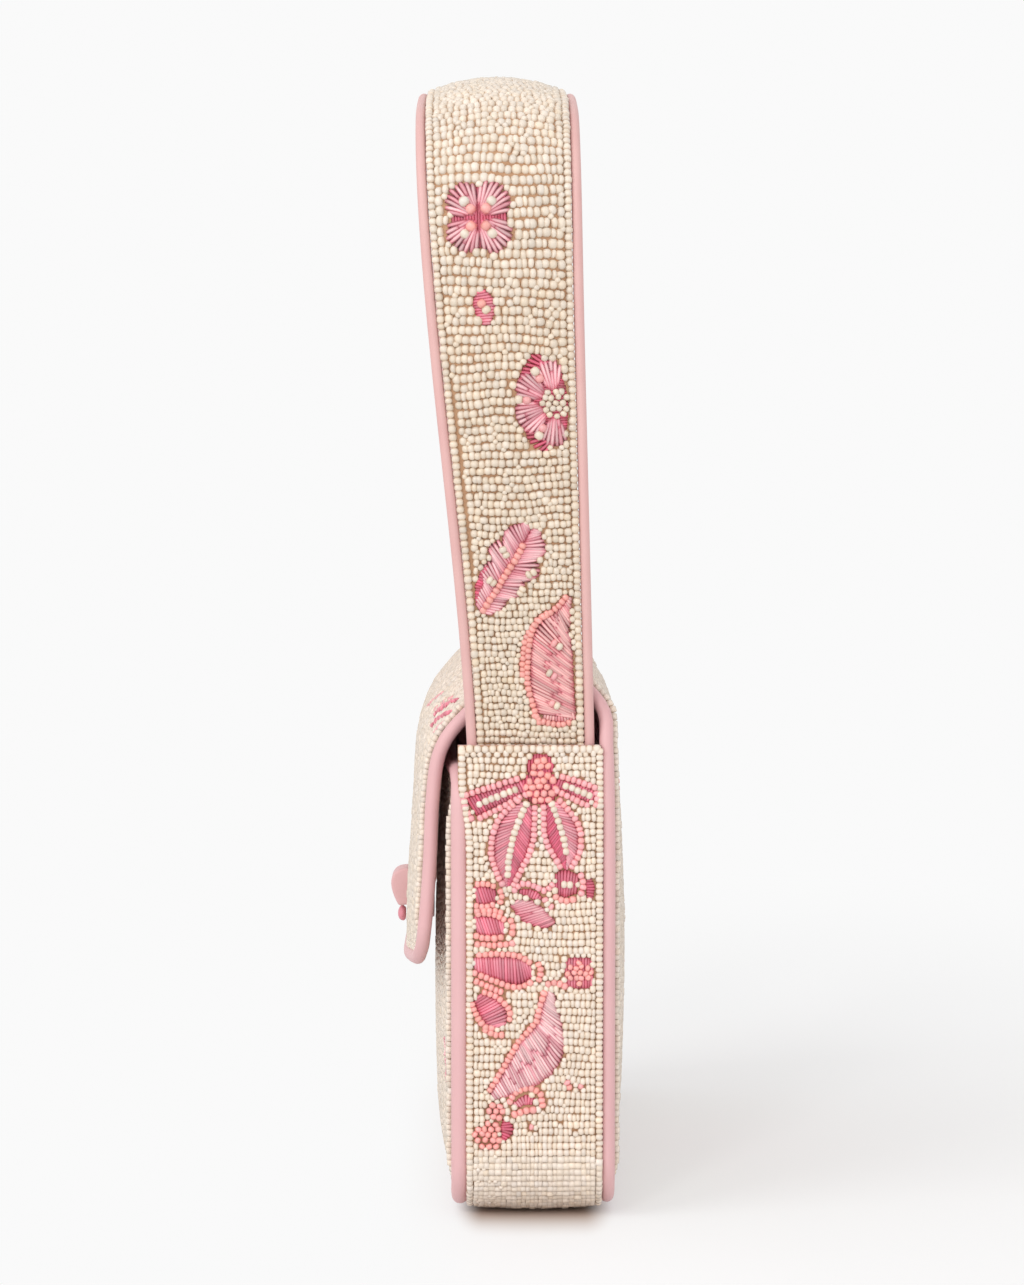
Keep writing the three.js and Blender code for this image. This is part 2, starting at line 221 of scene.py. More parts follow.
class ShaderGraph:
    """A material's node tree around one Principled shader."""

    def __init__(self, name: str) -> None:
        """Start a material of that name."""
        self.material = bpy.data.materials.new(name)
        self.material.use_nodes = True
        self.tree = self.material.node_tree
        self.shader = self.tree.nodes["Principled BSDF"]

    def node(self, kind: str, settings: dict, sockets: dict, output: Union[int, str] = 0) -> Signal:
        """Add a node.

        Args:
            kind: The node's type.
            settings: Properties of the node, set first.
            sockets: Values or signals for its input sockets, by name or number.
            output: The output socket to hand on.

        Returns:
            That output as a signal.
        """
        made = self.tree.nodes.new(kind)
        for key, value in settings.items():
            setattr(made, key, value)
        self._fill(made, sockets)
        return Signal(self, made.outputs[output])

    def surface(self, sockets: dict) -> Material:
        """Set the shader's own sockets and hand over the material."""
        self._fill(self.shader, sockets)
        return self.material

    def output(self, shader: Signal) -> None:
        """Show another shader in place of the Principled one."""
        self.tree.links.new(shader.socket, self.tree.nodes["Material Output"].inputs["Surface"])

    def _fill(self, target: bpy.types.Node, sockets: dict) -> None:
        """Link or set a node's input sockets."""
        for key, value in sockets.items():
            if isinstance(value, Signal):
                self.tree.links.new(value.socket, target.inputs[key])
            else:
                target.inputs[key].default_value = value

    def place(self) -> Signal:
        """Give the Object coordinates."""
        return self.node("ShaderNodeTexCoord", {}, {}, "Object")

    def tint(self) -> Signal:
        """Give the colour that each bead or strand carries."""
        return self.node("ShaderNodeAttribute", {"attribute_name": TINT}, {}, "Color")

    def length(self, vector: Signal) -> Signal:
        """Give the length of a vector."""
        return self.node("ShaderNodeVectorMath", {"operation": "LENGTH"}, {0: vector}, "Value")

    def noise(self, cell: float, detail: float = 2.0) -> Signal:
        """Add soft noise from 0 to 1, with blotches of a size in millimetres."""
        sockets = {"Vector": self.place(), "Scale": 1 / (cell * MM), "Detail": detail}
        return self.node("ShaderNodeTexNoise", {}, sockets)

    def cells(self, cell: float) -> Signal:
        """Add the distance to the nearest of many scattered points, a cell apart in millimetres."""
        return self.node("ShaderNodeTexVoronoi", {}, {"Vector": self.place(), "Scale": 1 / (cell * MM)})

    def blend(self, share: Operand, first: object, second: object) -> Signal:
        """Mix two colours or signals, by the share of the second."""
        return self.node("ShaderNodeMix", {"data_type": "RGBA"}, {0: share, 6: first, 7: second}, 2)

    def bump(self, height: Signal, depth: float, strength: float) -> Signal:
        """Turn a height from 0 to 1 into a normal, with its depth in millimetres."""
        sockets = {"Height": height, "Distance": depth * MM, "Strength": strength}
        return self.node("ShaderNodeBump", {}, sockets)

    def ramp(self, value: Signal, span: Point, least: float = 0.0) -> Signal:
        """Rise smoothly from a least value to 1 as a value crosses a span."""
        sockets = {"Value": value, "From Min": span[0], "From Max": span[1], "To Min": least}
        return self.node("ShaderNodeMapRange", {"interpolation_type": "SMOOTHSTEP"}, sockets)


def rgba(colour: Colour) -> tuple[float, float, float, float]:
    """Give a display colour as a linear colour with alpha."""
    red, green, blue = to_linear(colour)
    return (float(red), float(green), float(blue), 1.0)


# Finishes


@dataclass(frozen=True)
class GlassFinish:
    """Opaque glass seed beads, each with a tint of its own."""

    name: str = "glass_beads"
    roughness: float = 0.2
    uneven: float = 0.1
    smear: float = 1.6
    mottle: float = 0.14
    cloud: float = 0.9
    milk: Colour = (255, 250, 240)
    ior: float = 1.5

    def material(self) -> Material:
        """Make the material."""
        graph = ShaderGraph(self.name)
        tint = graph.tint()
        cloud = graph.noise(self.cloud) * self.mottle
        return graph.surface({
            "Base Color": graph.blend(cloud, tint, rgba(self.milk)),
            "Roughness": self.roughness + self.uneven * graph.noise(self.smear),
            "IOR": self.ior,
        })


@dataclass(frozen=True)
class SilkFinish:
    """Untwisted silk floss with a soft shine along each strand, from its roughness and from a painted sheen
    of paler fibres in its colour.
    """

    name: str = "silk_floss"
    roughness: float = 0.36
    uneven: float = 0.16
    fibre: float = 0.35
    painted_sheen: float = 0.2
    pale: Colour = (255, 226, 226)
    relief: Point = (0.12, 0.5)

    def material(self) -> Material:
        """Make the material."""
        graph = ShaderGraph(self.name)
        tint = graph.tint()
        fibre = graph.noise(self.fibre, FINE_DETAIL)
        return graph.surface({
            # A paler colour blended in by noise is a painted sheen.
            "Base Color": graph.blend(self.painted_sheen * fibre, tint, rgba(self.pale)),
            "Roughness": self.roughness + self.uneven * fibre,
            "Normal": graph.bump(fibre, *self.relief),
        })


@dataclass(frozen=True)
class BackingFinish:
    """The tan cloth and thread that show between the beads."""

    name: str = "backing_cloth"
    light: Colour = (202, 162, 128)
    dark: Colour = (158, 116, 86)
    roughness: float = 0.8
    uneven: float = 0.1
    patch: float = 3.2
    weave: float = 0.42
    relief: Point = (0.2, 0.7)

    def material(self) -> Material:
        """Make the material."""
        graph = ShaderGraph(self.name)
        patch = graph.noise(self.patch, FINE_DETAIL)
        weave = graph.cells(self.weave)
        return graph.surface({
            "Base Color": graph.blend(patch, rgba(self.light), rgba(self.dark)),
            "Roughness": self.roughness + self.uneven * patch,
            "Normal": graph.bump(weave, *self.relief),
        })


@dataclass(frozen=True)
class LeatherFinish:
    """Soft smooth leather with a fine grain."""

    name: str
    colour: Colour
    pale: Colour
    roughness: float = 0.46
    uneven: float = 0.14
    polish: float = 0.08
    wear: float = 0.12
    patch: float = 14.0
    grain: float = 0.55
    pore: float = 0.3
    grain_share: float = 0.7
    pore_share: float = 0.3
    relief: Point = (0.09, 0.35)

    def material(self) -> Material:
        """Make the material."""
        graph = ShaderGraph(self.name)
        patch = graph.noise(self.patch, FINE_DETAIL)
        grain = graph.cells(self.grain)
        pores = graph.noise(self.pore)
        colour = graph.blend(patch, rgba(self.colour), rgba(self.pale))
        return graph.surface({
            "Base Color": graph.blend(self.wear * grain, colour, rgba(self.pale)),
            "Roughness": self.roughness + self.uneven * patch - self.polish * grain,
            "Normal": graph.bump(self.grain_share * grain + self.pore_share * pores, *self.relief),
        })


@dataclass(frozen=True)
class FloorFinish:
    """The pale floor that the bag stands on, with a painted contact shadow round the bag's footprint, and its
    places in metres.
    """

    sky: float
    name: str = "pale_floor"
    fade: Point = (0.18, 0.75)
    least: float = 0.3
    front: Point = (0.0, 0.05)
    # footprint, narrowing, contact and shade place and colour the painted contact shadow under the bag.
    footprint: Triple = (0.1015, 0.0155, 1.0)
    narrowing: Triple = (1.0, 3.6, 1.0)
    contact: Point = (0.0, 0.039)
    shade: Colour = (178, 158, 146)
    pale: tuple[Colour, Colour] = ((232, 232, 232), (234, 234, 234))
    cloud: float = 900.0
    roughness: float = 0.9
    specular: float = 0.1

    def material(self) -> Material:
        """Make the material, with a painted contact shadow round the bag, which fades into a glow like the
        sky away from the bag and in front of it.
        """
        graph = ShaderGraph(self.name)
        nothing = (0.0, 0.0, 0.0)
        beside = graph.place()
        for operation, value in (("ABSOLUTE", nothing), ("SUBTRACT", self.footprint), ("MAXIMUM", nothing),
                                 ("MULTIPLY", self.narrowing)):
            beside = graph.node("ShaderNodeVectorMath", {"operation": operation}, {0: beside, 1: value})
        # clear rises from 0 at the footprint to 1 away from it, and blends in the painted contact shadow
        # where it is low.
        clear = graph.ramp(graph.length(beside), self.contact)
        pale = graph.blend(graph.noise(self.cloud), *(rgba(colour) for colour in self.pale))
        graph.surface({
            "Base Color": graph.blend(clear, rgba(self.shade), pale),
            "Roughness": self.roughness,
            "Specular IOR Level": self.specular,
        })
        # Far off and in front of the bag the floor glows as bright as the sky: painted light over its own
        # shading, kept off the painted contact shadow.
        far = graph.ramp(graph.length(graph.place()), self.fade, self.least)
        depth = graph.node("ShaderNodeSeparateXYZ", {}, {0: graph.place()}, "Y")
        lit = graph.ramp(0 - depth, self.front)
        share = clear * (1 - (1 - far) * (1 - lit))
        glow = graph.node("ShaderNodeEmission", {}, {"Color": (1, 1, 1, 1), "Strength": self.sky})
        ends = {0: share, 1: Signal(graph, graph.shader.outputs[0]), 2: glow}
        graph.output(graph.node("ShaderNodeMixShader", {}, ends))
        return graph.material


@dataclass
class Finishes:
    """The materials, each made once."""

    glass: Material = field(default_factory=GlassFinish().material)
    silk: Material = field(default_factory=SilkFinish().material)
    backing: Material = field(default_factory=BackingFinish().material)
    # A paler copy of the backing cloth for the panels: partly their own cloth, partly painted light that
    # lifts their shade.
    panel_backing: Material = field(
        default_factory=BackingFinish("panel_cloth", (226, 204, 180), (204, 176, 150)).material)
    leather: Material = field(
        default_factory=LeatherFinish("pink_leather", (207, 159, 161), (214, 171, 171)).material)
    strap_leather: Material = field(
        default_factory=LeatherFinish("strap_leather", (203, 154, 151), (212, 172, 167)).material)
    deep_leather: Material = field(
        default_factory=LeatherFinish("deep_pink_leather", (204, 122, 136), (214, 140, 150)).material)


# Making pieces


def add_piece(mesh: Mesh, materials: Sequence[Material], stands_for: Sequence[str] = ()) -> None:
    """Put a finished mesh in the scene as a piece of the bag.

    Args:
        mesh: The mesh, in metres, in the frame of the solids.
        materials: Its materials, in the order of its face indices.
        stands_for: The solids that it is shown in place of.
    """
    piece = bpy.data.objects.new(mesh.name, mesh)
    bpy.context.scene.collection.objects.link(piece)
    for material in materials:
        mesh.materials.append(material)
    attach(piece, BODY)
    if stands_for:
        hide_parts(*stands_for)
    mesh.calc_loop_triangles()
    log.info("%s: %d triangles", piece.name, len(mesh.loop_triangles))


def mesh_from(shape: bmesh.types.BMesh, name: str) -> Mesh:
    """Turn a bmesh in millimetres into a smooth mesh in metres.

    Args:
        shape: The bmesh, which is freed.
        name: The name of the mesh.

    Returns:
        The mesh.
    """
    bmesh.ops.scale(shape, vec=Vector((MM, MM, MM)), verts=shape.verts)
    mesh = bpy.data.meshes.new(name)
    shape.to_mesh(mesh)
    shape.free()
    mesh.polygons.foreach_set("use_smooth", np.ones(len(mesh.polygons), bool))
    return mesh


def bend_grid(shape: bmesh.types.BMesh, across: int, along: int,
              place: Callable[[Array, Array], Array]) -> None:
    """Add a grid and bend it to a surface.

    Args:
        shape: The bmesh to add it to.
        across: Its number of faces across.
        along: Its number of faces along.
        place: Gives the positions for two arrays of shares from 0 to 1.
    """
    verts = bmesh.ops.create_grid(shape, x_segments=across, y_segments=along, size=0.5)["verts"]
    flat = np.array([vert.co for vert in verts])
    spots = place(flat[:, 0] + 0.5, flat[:, 1] + 0.5)
    for vert, spot in zip(verts, spots):
        vert.co = spot


def tube(path: Array, outs: Array, radius: float, sides: int, closed: bool, name: str) -> Mesh:
    """Make a round cord of leather along a path.

    Args:
        path: Points along its middle.
        outs: The way out of the bag at each point.
        radius: Its radius.
        sides: The number of faces round it.
        closed: Whether the last point meets the first.
        name: The name of the mesh.

    Returns:
        The mesh.
    """
    if closed:
        path = np.vstack([path, path[:1]])
        outs = np.vstack([outs, outs[:1]])
        ahead = np.vstack([path[1:], path[1:2]])
        behind = np.vstack([path[-2:-1], path[:-1]])
        along = unit(ahead - behind)
    else:
        along = unit(np.gradient(path, axis=0))
    aside = unit(np.cross(along, outs))
    up = np.cross(aside, along)
    count = len(path)

    def place(turn: Array, share: Array) -> Array:
        """Wrap the grid round the path."""
        row = np.rint(share * (count - 1)).astype(int)
        angle = 2 * np.pi * turn[:, None]
        return path[row] + radius * (np.cos(angle) * aside[row] + np.sin(angle) * up[row])

    shape = bmesh.new()
    bend_grid(shape, sides, count - 1, place)
    bmesh.ops.remove_doubles(shape, verts=shape.verts, dist=SAME_PLACE)
    if not closed:
        bmesh.ops.holes_fill(shape, edges=[edge for edge in shape.edges if edge.is_boundary])
    bmesh.ops.recalc_face_normals(shape, faces=shape.faces)
    return mesh_from(shape, name)


def cell_corners(layout: Array, count: int) -> Array:
    """Give each of many alike shapes its own square of the bake map.

    Args:
        layout: The map of one shape, from 0 to 1, as (faces, corners, 2).
        count: The number of shapes.

    Returns:
        The map of all of them, as rows of two.
    """
    side = math.ceil(math.sqrt(count))
    places = np.arange(count)
    origin = np.stack([places % side, places // side], axis=1)[:, None, None, :]
    return ((origin + BAKE_MARGIN + (1 - 2 * BAKE_MARGIN) * layout[None]) / side).reshape(-1, 2)


def joined_mesh(name: str, spots: Array, faces: Array, layout: Array, tints: Array, smooth: Array) -> Mesh:
    """Join many alike small shapes into one mesh.

    Args:
        name: The name of the mesh.
        spots: Vertices of every shape, as (shapes, vertices, 3).
        faces: Triangles of one shape.
        layout: The bake map of one shape, as (triangles, 3, 2).
        tints: A linear colour for each vertex of each shape, as (shapes, vertices, 3).
        smooth: Whether each triangle of one shape is shaded smoothly.

    Returns:
        The mesh, in metres.
    """
    count, size = spots.shape[:2]
    corners = (faces[None] + size * np.arange(count)[:, None, None]).reshape(-1)
    mesh = bpy.data.meshes.new(name)
    mesh.vertices.add(count * size)
    mesh.vertices.foreach_set("co", (spots * MM).ravel())
    mesh.loops.add(len(corners))
    mesh.loops.foreach_set("vertex_index", corners)
    mesh.polygons.add(len(corners) // 3)
    mesh.polygons.foreach_set("loop_start", np.arange(0, len(corners), 3))
    mesh.polygons.foreach_set("use_smooth", np.tile(smooth, count))
    mesh.update(calc_edges=True)
    bake_map = mesh.uv_layers.new(name=BAKE_MAP)
    bake_map.data.foreach_set("uv", cell_corners(layout, count).ravel())
    tint = mesh.color_attributes.new(TINT, "FLOAT_COLOR", "POINT")
    whole = np.concatenate([np.broadcast_to(tints, (count, size, 3)), np.ones((count, size, 1))], axis=2)
    tint.data.foreach_set("color", whole.ravel())
    mesh.validate()
    return mesh


# Surfaces


class Surface:
    """A wall of the bag that beads are sewn to, with flat coordinates of its own."""

    STEP = 0.3

    def place(self, u: Array, v: Array, lift: Height) -> Array:
        """Give positions.

        Args:
            u: Distance across the rows.
            v: Distance along the wall.
            lift: Height above the tops of the beads.

        Returns:
            A row of x, y and z for each place.
        """
        raise NotImplementedError

    def axes(self, u: Array, v: Array, lift: Height) -> tuple[Array, ...]:
        """Give positions with the directions there.

        Args:
            u: Distance across the rows.
            v: Distance along the wall.
            lift: Height above the tops of the beads.

        Returns:
            Positions, and unit directions across, along and out of the wall.
        """
        step = self.STEP
        across = unit(self.place(u + step, v, lift) - self.place(u - step, v, lift))
        along = unit(self.place(u, v + step, lift) - self.place(u, v - step, lift))
        out = unit(np.cross(across, along))
        return self.place(u, v, lift), across, np.cross(out, across), out


@dataclass
class GussetBand(Surface):
    """The band down one side, along the base and up the other side: u is Y, v starts under the middle."""

    reach: float = 97.0
    corner: float = 18.0
    height: float = 149.5
    half: float = 21.0
    flare: float = 2.5
    flare_span: Point = (118.0, 139.0)
    bow: float = 1.0

    @property
    def corner_end(self) -> float:
        """Where the bend at the base ends."""
        return self.reach + self.corner * math.pi / 2

    @property
    def end(self) -> float:
        """Where the band ends, at its upper edge."""
        return self.corner_end + self.height - self.corner

    def at_height(self, z: float) -> float:
        """Give v for a height on the side that the photograph shows."""
        return self.corner_end + z - self.corner

    def place(self, u: Array, v: Array, lift: Height) -> Array:
        """Give positions, as the base class says."""
        run = np.abs(v)
        angle = np.clip((run - self.reach) / self.corner, 0, math.pi / 2) - math.pi / 2
        raised = self.bow * (np.asarray(u) / self.half) ** 2 * (1 - ease(run, self.reach, self.corner_end))
        out = self.corner + lift - raised
        x = np.minimum(run, self.reach) + out * np.cos(angle)
        z = self.corner + np.maximum(run - self.corner_end, 0) + out * np.sin(angle)
        y = u - self.flare * ease(z, *self.flare_span) * np.clip(-np.asarray(u) / self.half, 0, 1)
        return np.stack(np.broadcast_arrays(np.sign(v) * x, y, z), axis=-1)


@dataclass
class StrapArch(Surface):
    """The strap: u is measured across from its middle line, v from the rim of the side that shows."""

    wall: float = 3.6
    tuck_z: float = 116.0
    root_z: float = 149.5
    root_width: float = 32.6
    top_width: float = 44.3
    crown: float = 4.4
    lean: float = -11.2
    root_half: float = 109.6
    arch_half: float = 114.5
    widest_z: float = 250.0
    top_z: float = 359.6
    top_slope: float = math.radians(14)
    shoulder: float = 42.0
    width_span: Point = (130.0, 350.0)
    crown_span: Point = (155.0, 350.0)
    lean_start: float = 110.0
    points: tuple[int, int, int] = (320, 120, 160)

    def __post_init__(self) -> None:
        """Work out the middle line: legs, round shoulders and a shallow arc over the top."""
        inner = self.arch_half - self.shoulder
        radius = inner / math.sin(self.top_slope) + self.shoulder
        centre_z = self.top_z - radius
        shoulder_z = centre_z + (radius - self.shoulder) * math.cos(self.top_slope)
        tuck = np.array([[self.root_half, self.tuck_z]])
        leg_points, bend_points, top_points = self.points
        z = np.linspace(self.root_z, shoulder_z, leg_points, endpoint=False)
        x = self.root_half + (self.arch_half - self.root_half) * ease(z, self.root_z, self.widest_z)
        turn = np.linspace(0, math.pi / 2 - self.top_slope, bend_points, endpoint=False)
        bend = np.stack([inner + self.shoulder * np.cos(turn),
                         shoulder_z + self.shoulder * np.sin(turn)], axis=1)
        turn = np.linspace(self.top_slope, 0, top_points)
        top = np.stack([radius * np.sin(turn), centre_z + radius * np.cos(turn)], axis=1)
        right = np.vstack([tuck, np.stack([x, z], axis=1), bend, top])
        left = right[-2::-1] * [-1, 1]
        self.line = np.vstack([right, left])
        self.run = lengths_along(self.line) - (self.root_z - self.tuck_z)
        self.ahead = unit(np.gradient(self.line, self.run, axis=0))

    @property
    def start(self) -> float:
        """Where the strap starts, tucked inside the gusset."""
        return float(self.run[0])

    @property
    def end(self) -> float:
        """Where the other tucked end is."""
        return float(self.run[-1])

    @property
    def middle(self) -> float:
        """Where the strap is highest."""
        return (self.start + self.end) / 2

    def half_at(self, v: Array) -> Array:
        """Give the half width at v."""
        widening = (self.top_width - self.root_width) * ease(self.height_at(v), *self.width_span)
        return (self.root_width + widening) / 2

    def height_at(self, v: Array) -> Array:
        """Give the height of the middle line at v."""
        return np.interp(v, self.run, self.line[:, 1])

    def rail(self, v: Array, y: Array, out: Height) -> Array:
        """Give positions beside the middle line.

        Args:
            v: Distance along the strap.
            y: Distance across from the middle line.
            out: Height above the middle of the strap's thickness.

        Returns:
            A row of x, y and z for each place.
        """
        point = look_up(v, self.run, self.line)
        ahead = look_up(v, self.run, self.ahead)
        lean = self.lean * ease(point[..., 1], self.lean_start, self.top_z)
        return np.stack([point[..., 0] + ahead[..., 1] * out, lean + y,
                         point[..., 1] - ahead[..., 0] * out], axis=-1)

    def place(self, u: Array, v: Array, lift: Height) -> Array:
        """Give positions, as the base class says."""
        crown = self.crown * ease(self.height_at(v), *self.crown_span) * (1 - (u / self.half_at(v)) ** 2)
        return self.rail(v, np.asarray(u, float), self.wall / 2 + crown + lift)


@dataclass
class SwollenSheet(Surface):
    """A panel that follows a line of sections and swells between its two edges.

    The rows of sections hold y, z and how far the middle swells. way is 1 where u is X and -1 where
    it is the other way round. facing is 1 where the outside is on the right of the line, seen with Y
    to the right and Z up, and -1 where it is on the left.
    """

    sections: Sequence[tuple[float, float, float]]
    way: int
    facing: int
    half: float
    foot_corner: float
    head_corner: float
    wall: float = 3.2
    power: float = 2.4
    line_points: int = 3000
    corner_points: int = 24
    edge_step: float = 3.0

    def __post_init__(self) -> None:
        """Work out the line of the piped edge, its directions and its swelling."""
        rows = np.array(self.sections)
        dense = knot_spline(rows, np.linspace(0, len(rows) - 1, self.line_points))
        self.line = dense[:, :2]
        self.run = lengths_along(self.line)
        self.ahead = unit(np.gradient(self.line, self.run, axis=0))
        self.puff = dense[:, 2]

    @property
    def end(self) -> float:
        """The length of the line."""
        return float(self.run[-1])

    def run_at_height(self, z: float, from_head: bool = False) -> float:
        """Find where the line first reaches a height.

        Args:
            z: The height.
            from_head: Whether to search from the far end.

        Returns:
            The distance along the line.
        """
        order = slice(None, None, -1) if from_head else slice(None)
        above = self.line[order, 1] > z
        return float(self.run[order][np.argmax(above != above[0])])

    def half_at(self, v: Array) -> Array:
        """Give the half width at v, without the rounding of corners."""
        return np.full_like(np.asarray(v, float), self.half)

    def bend(self, x: Array, v: Array) -> Array:
        """Give the place on the line for a row at v, which may bend across the panel."""
        return np.asarray(v, float) + 0 * x

    def trim(self, v: Array) -> Array:
        """Give how much the rounded corners take off the half width at v."""
        foot = np.clip(1 - v / self.foot_corner, 0, 1)
        head = np.clip(1 - (self.end - v) / self.head_corner, 0, 1)
        return (self.foot_corner * (1 - np.sqrt(1 - foot ** 2))
                + self.head_corner * (1 - np.sqrt(1 - head ** 2)))

    def place(self, u: Array, v: Array, lift: Height) -> Array:
        """Give positions, as the base class says."""
        return self.at(u, v, self.wall / 2 + lift)

    def at(self, u: Array, v: Array, out: Height) -> Array:
        """Give positions at a height above the middle of the wall's thickness.

        Args:
            u: Distance across the rows.
            v: Distance along the wall.
            out: Height above the middle of the wall.

        Returns:
            A row of x, y and z for each place.
        """
        x = self.way * np.asarray(u, float)
        run = self.bend(x, v)
        kept = np.clip(run, 0, self.end)
        ahead = look_up(kept, self.run, self.ahead)
        point = look_up(kept, self.run, self.line) + ahead * (run - kept)[..., None]
        swell = np.maximum(0, 1 - np.abs(x / self.half_at(v)) ** self.power)
        height = np.interp(kept, self.run, self.puff) * swell + out
        normal = self.facing * np.stack([ahead[..., 1], -ahead[..., 0]], axis=-1)
        spot = point + normal * height[..., None]
        return np.stack([x, spot[..., 0], spot[..., 1]], axis=-1)

    def _steps(self, start: float, end: float, length: float) -> Array:
        """Give places from start to end, at least a few and about edge_step apart over a length."""
        return np.linspace(start, end, max(LEAST_POINTS, int(length / self.edge_step)))

    def outline(self, beyond: float) -> Array:
        """Go once round the edge in flat coordinates.

        Args:
            beyond: How far outside the edge.

        Returns:
            Rows of (u, v), anticlockwise, without repeating the first.
        """
        turn = np.linspace(0, math.pi / 2, self.corner_points)
        foot = self.foot_corner * (1 - np.cos(turn))
        head = self.end - self.head_corner * (1 - np.cos(turn))
        sides = self._steps(foot[-1], head[-1], self.end)
        v = np.concatenate([foot, sides[1:-1], head[::-1]])
        u = self.half_at(v) - self.trim(v)
        foot_u = self._steps(-u[0], u[0], 2 * u[0])[1:-1]
        head_u = self._steps(u[-1], -u[-1], 2 * u[-1])[1:-1]
        right = np.stack([u, v], axis=1)
        left = (right * [-1, 1])[::-1]
        foot_row = np.stack([foot_u, np.zeros_like(foot_u)], axis=1)
        head_row = np.stack([head_u, np.full_like(head_u, self.end)], axis=1)
        ring = np.vstack([foot_row, right, head_row, left])
        around = unit(np.roll(ring, -1, axis=0) - np.roll(ring, 1, axis=0))
        return ring + beyond * np.stack([around[:, 1], -around[:, 0]], axis=1)


@dataclass
class WrapSheet(SwollenSheet):
    """The back panel that turns over the top into the flap, with a softly pointed hem."""

    flap_half: float = 100.0
    hem_sag: float = 10.0
    tip_softness: float = 0.2
    narrow_z: Point = (141.0, 167.0)
    flap_z: float = 171.0

    def __post_init__(self) -> None:
        """Find where the sheet narrows and where the flap starts."""
        super().__post_init__()
        self.narrows = tuple(self.run_at_height(z) for z in self.narrow_z)
        self.flap_start = self.run_at_height(self.flap_z)

    def half_at(self, v: Array) -> Array:
        """Give the half width at v, without the rounding of corners."""
        return self.half + (self.flap_half - self.half) * ease(v, *self.narrows)

    def tip(self, x: Array) -> Array:
        """Give how far the hem has risen at x, on a scale of its own."""
        return np.hypot(x / self.flap_half, self.tip_softness) - self.tip_softness

    def bend(self, x: Array, v: Array) -> Array:
        """Give the place on the line for a row at v, which bends towards the hem."""
        share = np.maximum(0, (v - self.flap_start) / (self.end - self.flap_start))
        return v - self.hem_sag * share * self.tip(x) / self.tip(np.array(self.flap_half))


# Ornament


@dataclass(frozen=True)
class Stroke:
    """A shape filled with silk: a middle line with half widths, and beads along it.

    silk colours the start and tip the end. With split on, strands run from the middle to each side,
    and the right side has a colour of its own. root colours the strands where they leave the middle,
    or the left side. slant turns the strands, in degrees, from its value at the start to slant_tip at
    the end.
    """

    line: tuple[Point, ...]
    half: tuple[float, ...]
    silk: Silk
    tip: Optional[Silk] = None
    right: Optional[Silk] = None
    root: Optional[Silk] = None
    split: bool = False
    slant: float = 0.0
    slant_tip: Optional[float] = None
    edge: Edge = Edge.NONE
    edge_glass: Glass = Glass.CORAL
    rib: tuple[Glass, ...] = ()
    rib_span: Point = (0.0, 1.0)
    scallops: int = 0
    rise: float = 0.7
    step: float = 1.0


@dataclass(frozen=True)
class BeadLine:
    """Beads strung along a line, with colours that repeat."""

    line: tuple[Point, ...]
    glass: tuple[Glass, ...]
    size: float = 1.0
    lift: float = 0.0


@dataclass(frozen=True)
class Cluster:
    """A round patch of beads."""

    centre: Point
    radius: float
    glass: Glass
    ground: Optional[Silk] = None
    step: float = 2.1

    def patch(self) -> Stroke:
        """Give the low silk patch under the beads."""
        u, v = self.centre
        reach = self.radius + 0.4
        line = ((u - reach, v), (u - 0.5 * reach, v), (u + 0.5 * reach, v), (u + reach, v))
        return Stroke(line, (0.35 * reach, 0.9 * reach, 0.9 * reach, 0.35 * reach), self.ground, rise=0.1)


Element = Union[Stroke, BeadLine, Cluster]


@dataclass(frozen=True)
class Spray:
    """A group of ornament, placed on a surface."""

    elements: tuple[Element, ...]
    at: Point = (0.0, 0.0)
    turn: float = 0.0
    size: float = 1.0

    def move(self, points: Sequence[Point]) -> Array:
        """Take points of the group to the surface's coordinates."""
        angle = math.radians(self.turn)
        turned = np.array([[math.cos(angle), math.sin(angle)], [-math.sin(angle), math.cos(angle)]])
        return self.size * np.asarray(points, float) @ turned + np.array(self.at)


def polar(centre: Point, radius: float, angle: float) -> Point:
    """Give the point at a distance and an angle in degrees from a centre."""
    turn = math.radians(angle)
    return (centre[0] + radius * math.cos(turn), centre[1] + radius * math.sin(turn))


@dataclass
class RowPlan:
    """How plain rows of beads are laid.

    The rows of the table hold v, the distance between rows, and the length and radius of a bead. In
    the aligned stretch the beads of all rows stand in the same columns.
    """

    table: Sequence[Row]
    wave: float = 0.35
    scatter: float = 0.1
    missing: float = 0.006
    aligned: Point = (0.0, 0.0)

    def at(self, v: float) -> tuple[float, ...]:
        """Give the distance between rows, and the length and radius of a bead, at v."""
        rows = np.array(self.table)
        return tuple(float(np.interp(v, rows[:, 0], column)) for column in rows.T[1:])


@dataclass(frozen=True)
class Looseness:
    """How far the beads of one kind of work differ from each other, as shares or in millimetres.

    sink is how deep they sit, and full is a bead's length as a share of its room. In plain rows, place
    and heading are shares of the plan's scatter.
    """

    length: float
    place: float
    heading: float
    girth: float
    lift: float
    sink: float
    full: float


STRUNG = Looseness(length=0.07, place=0.06, heading=0.07, girth=0.05, lift=0.12, sink=0.05, full=1.04)
PACKED = Looseness(length=0.06, place=0.1, heading=math.pi, girth=0.05, lift=0.1, sink=0.0, full=0.86)
ROWED = Looseness(length=0.15, place=1.0, heading=0.5, girth=0.07, lift=0.11, sink=0.1, full=1.09)
UPRIGHT = Looseness(length=0.08, place=0.08, heading=0.06, girth=0.05, lift=0.1, sink=0.1, full=1.16)
FILLED = Looseness(length=0.0, place=0.0, heading=math.pi, girth=0.0, lift=0.1, sink=0.15, full=0.95)


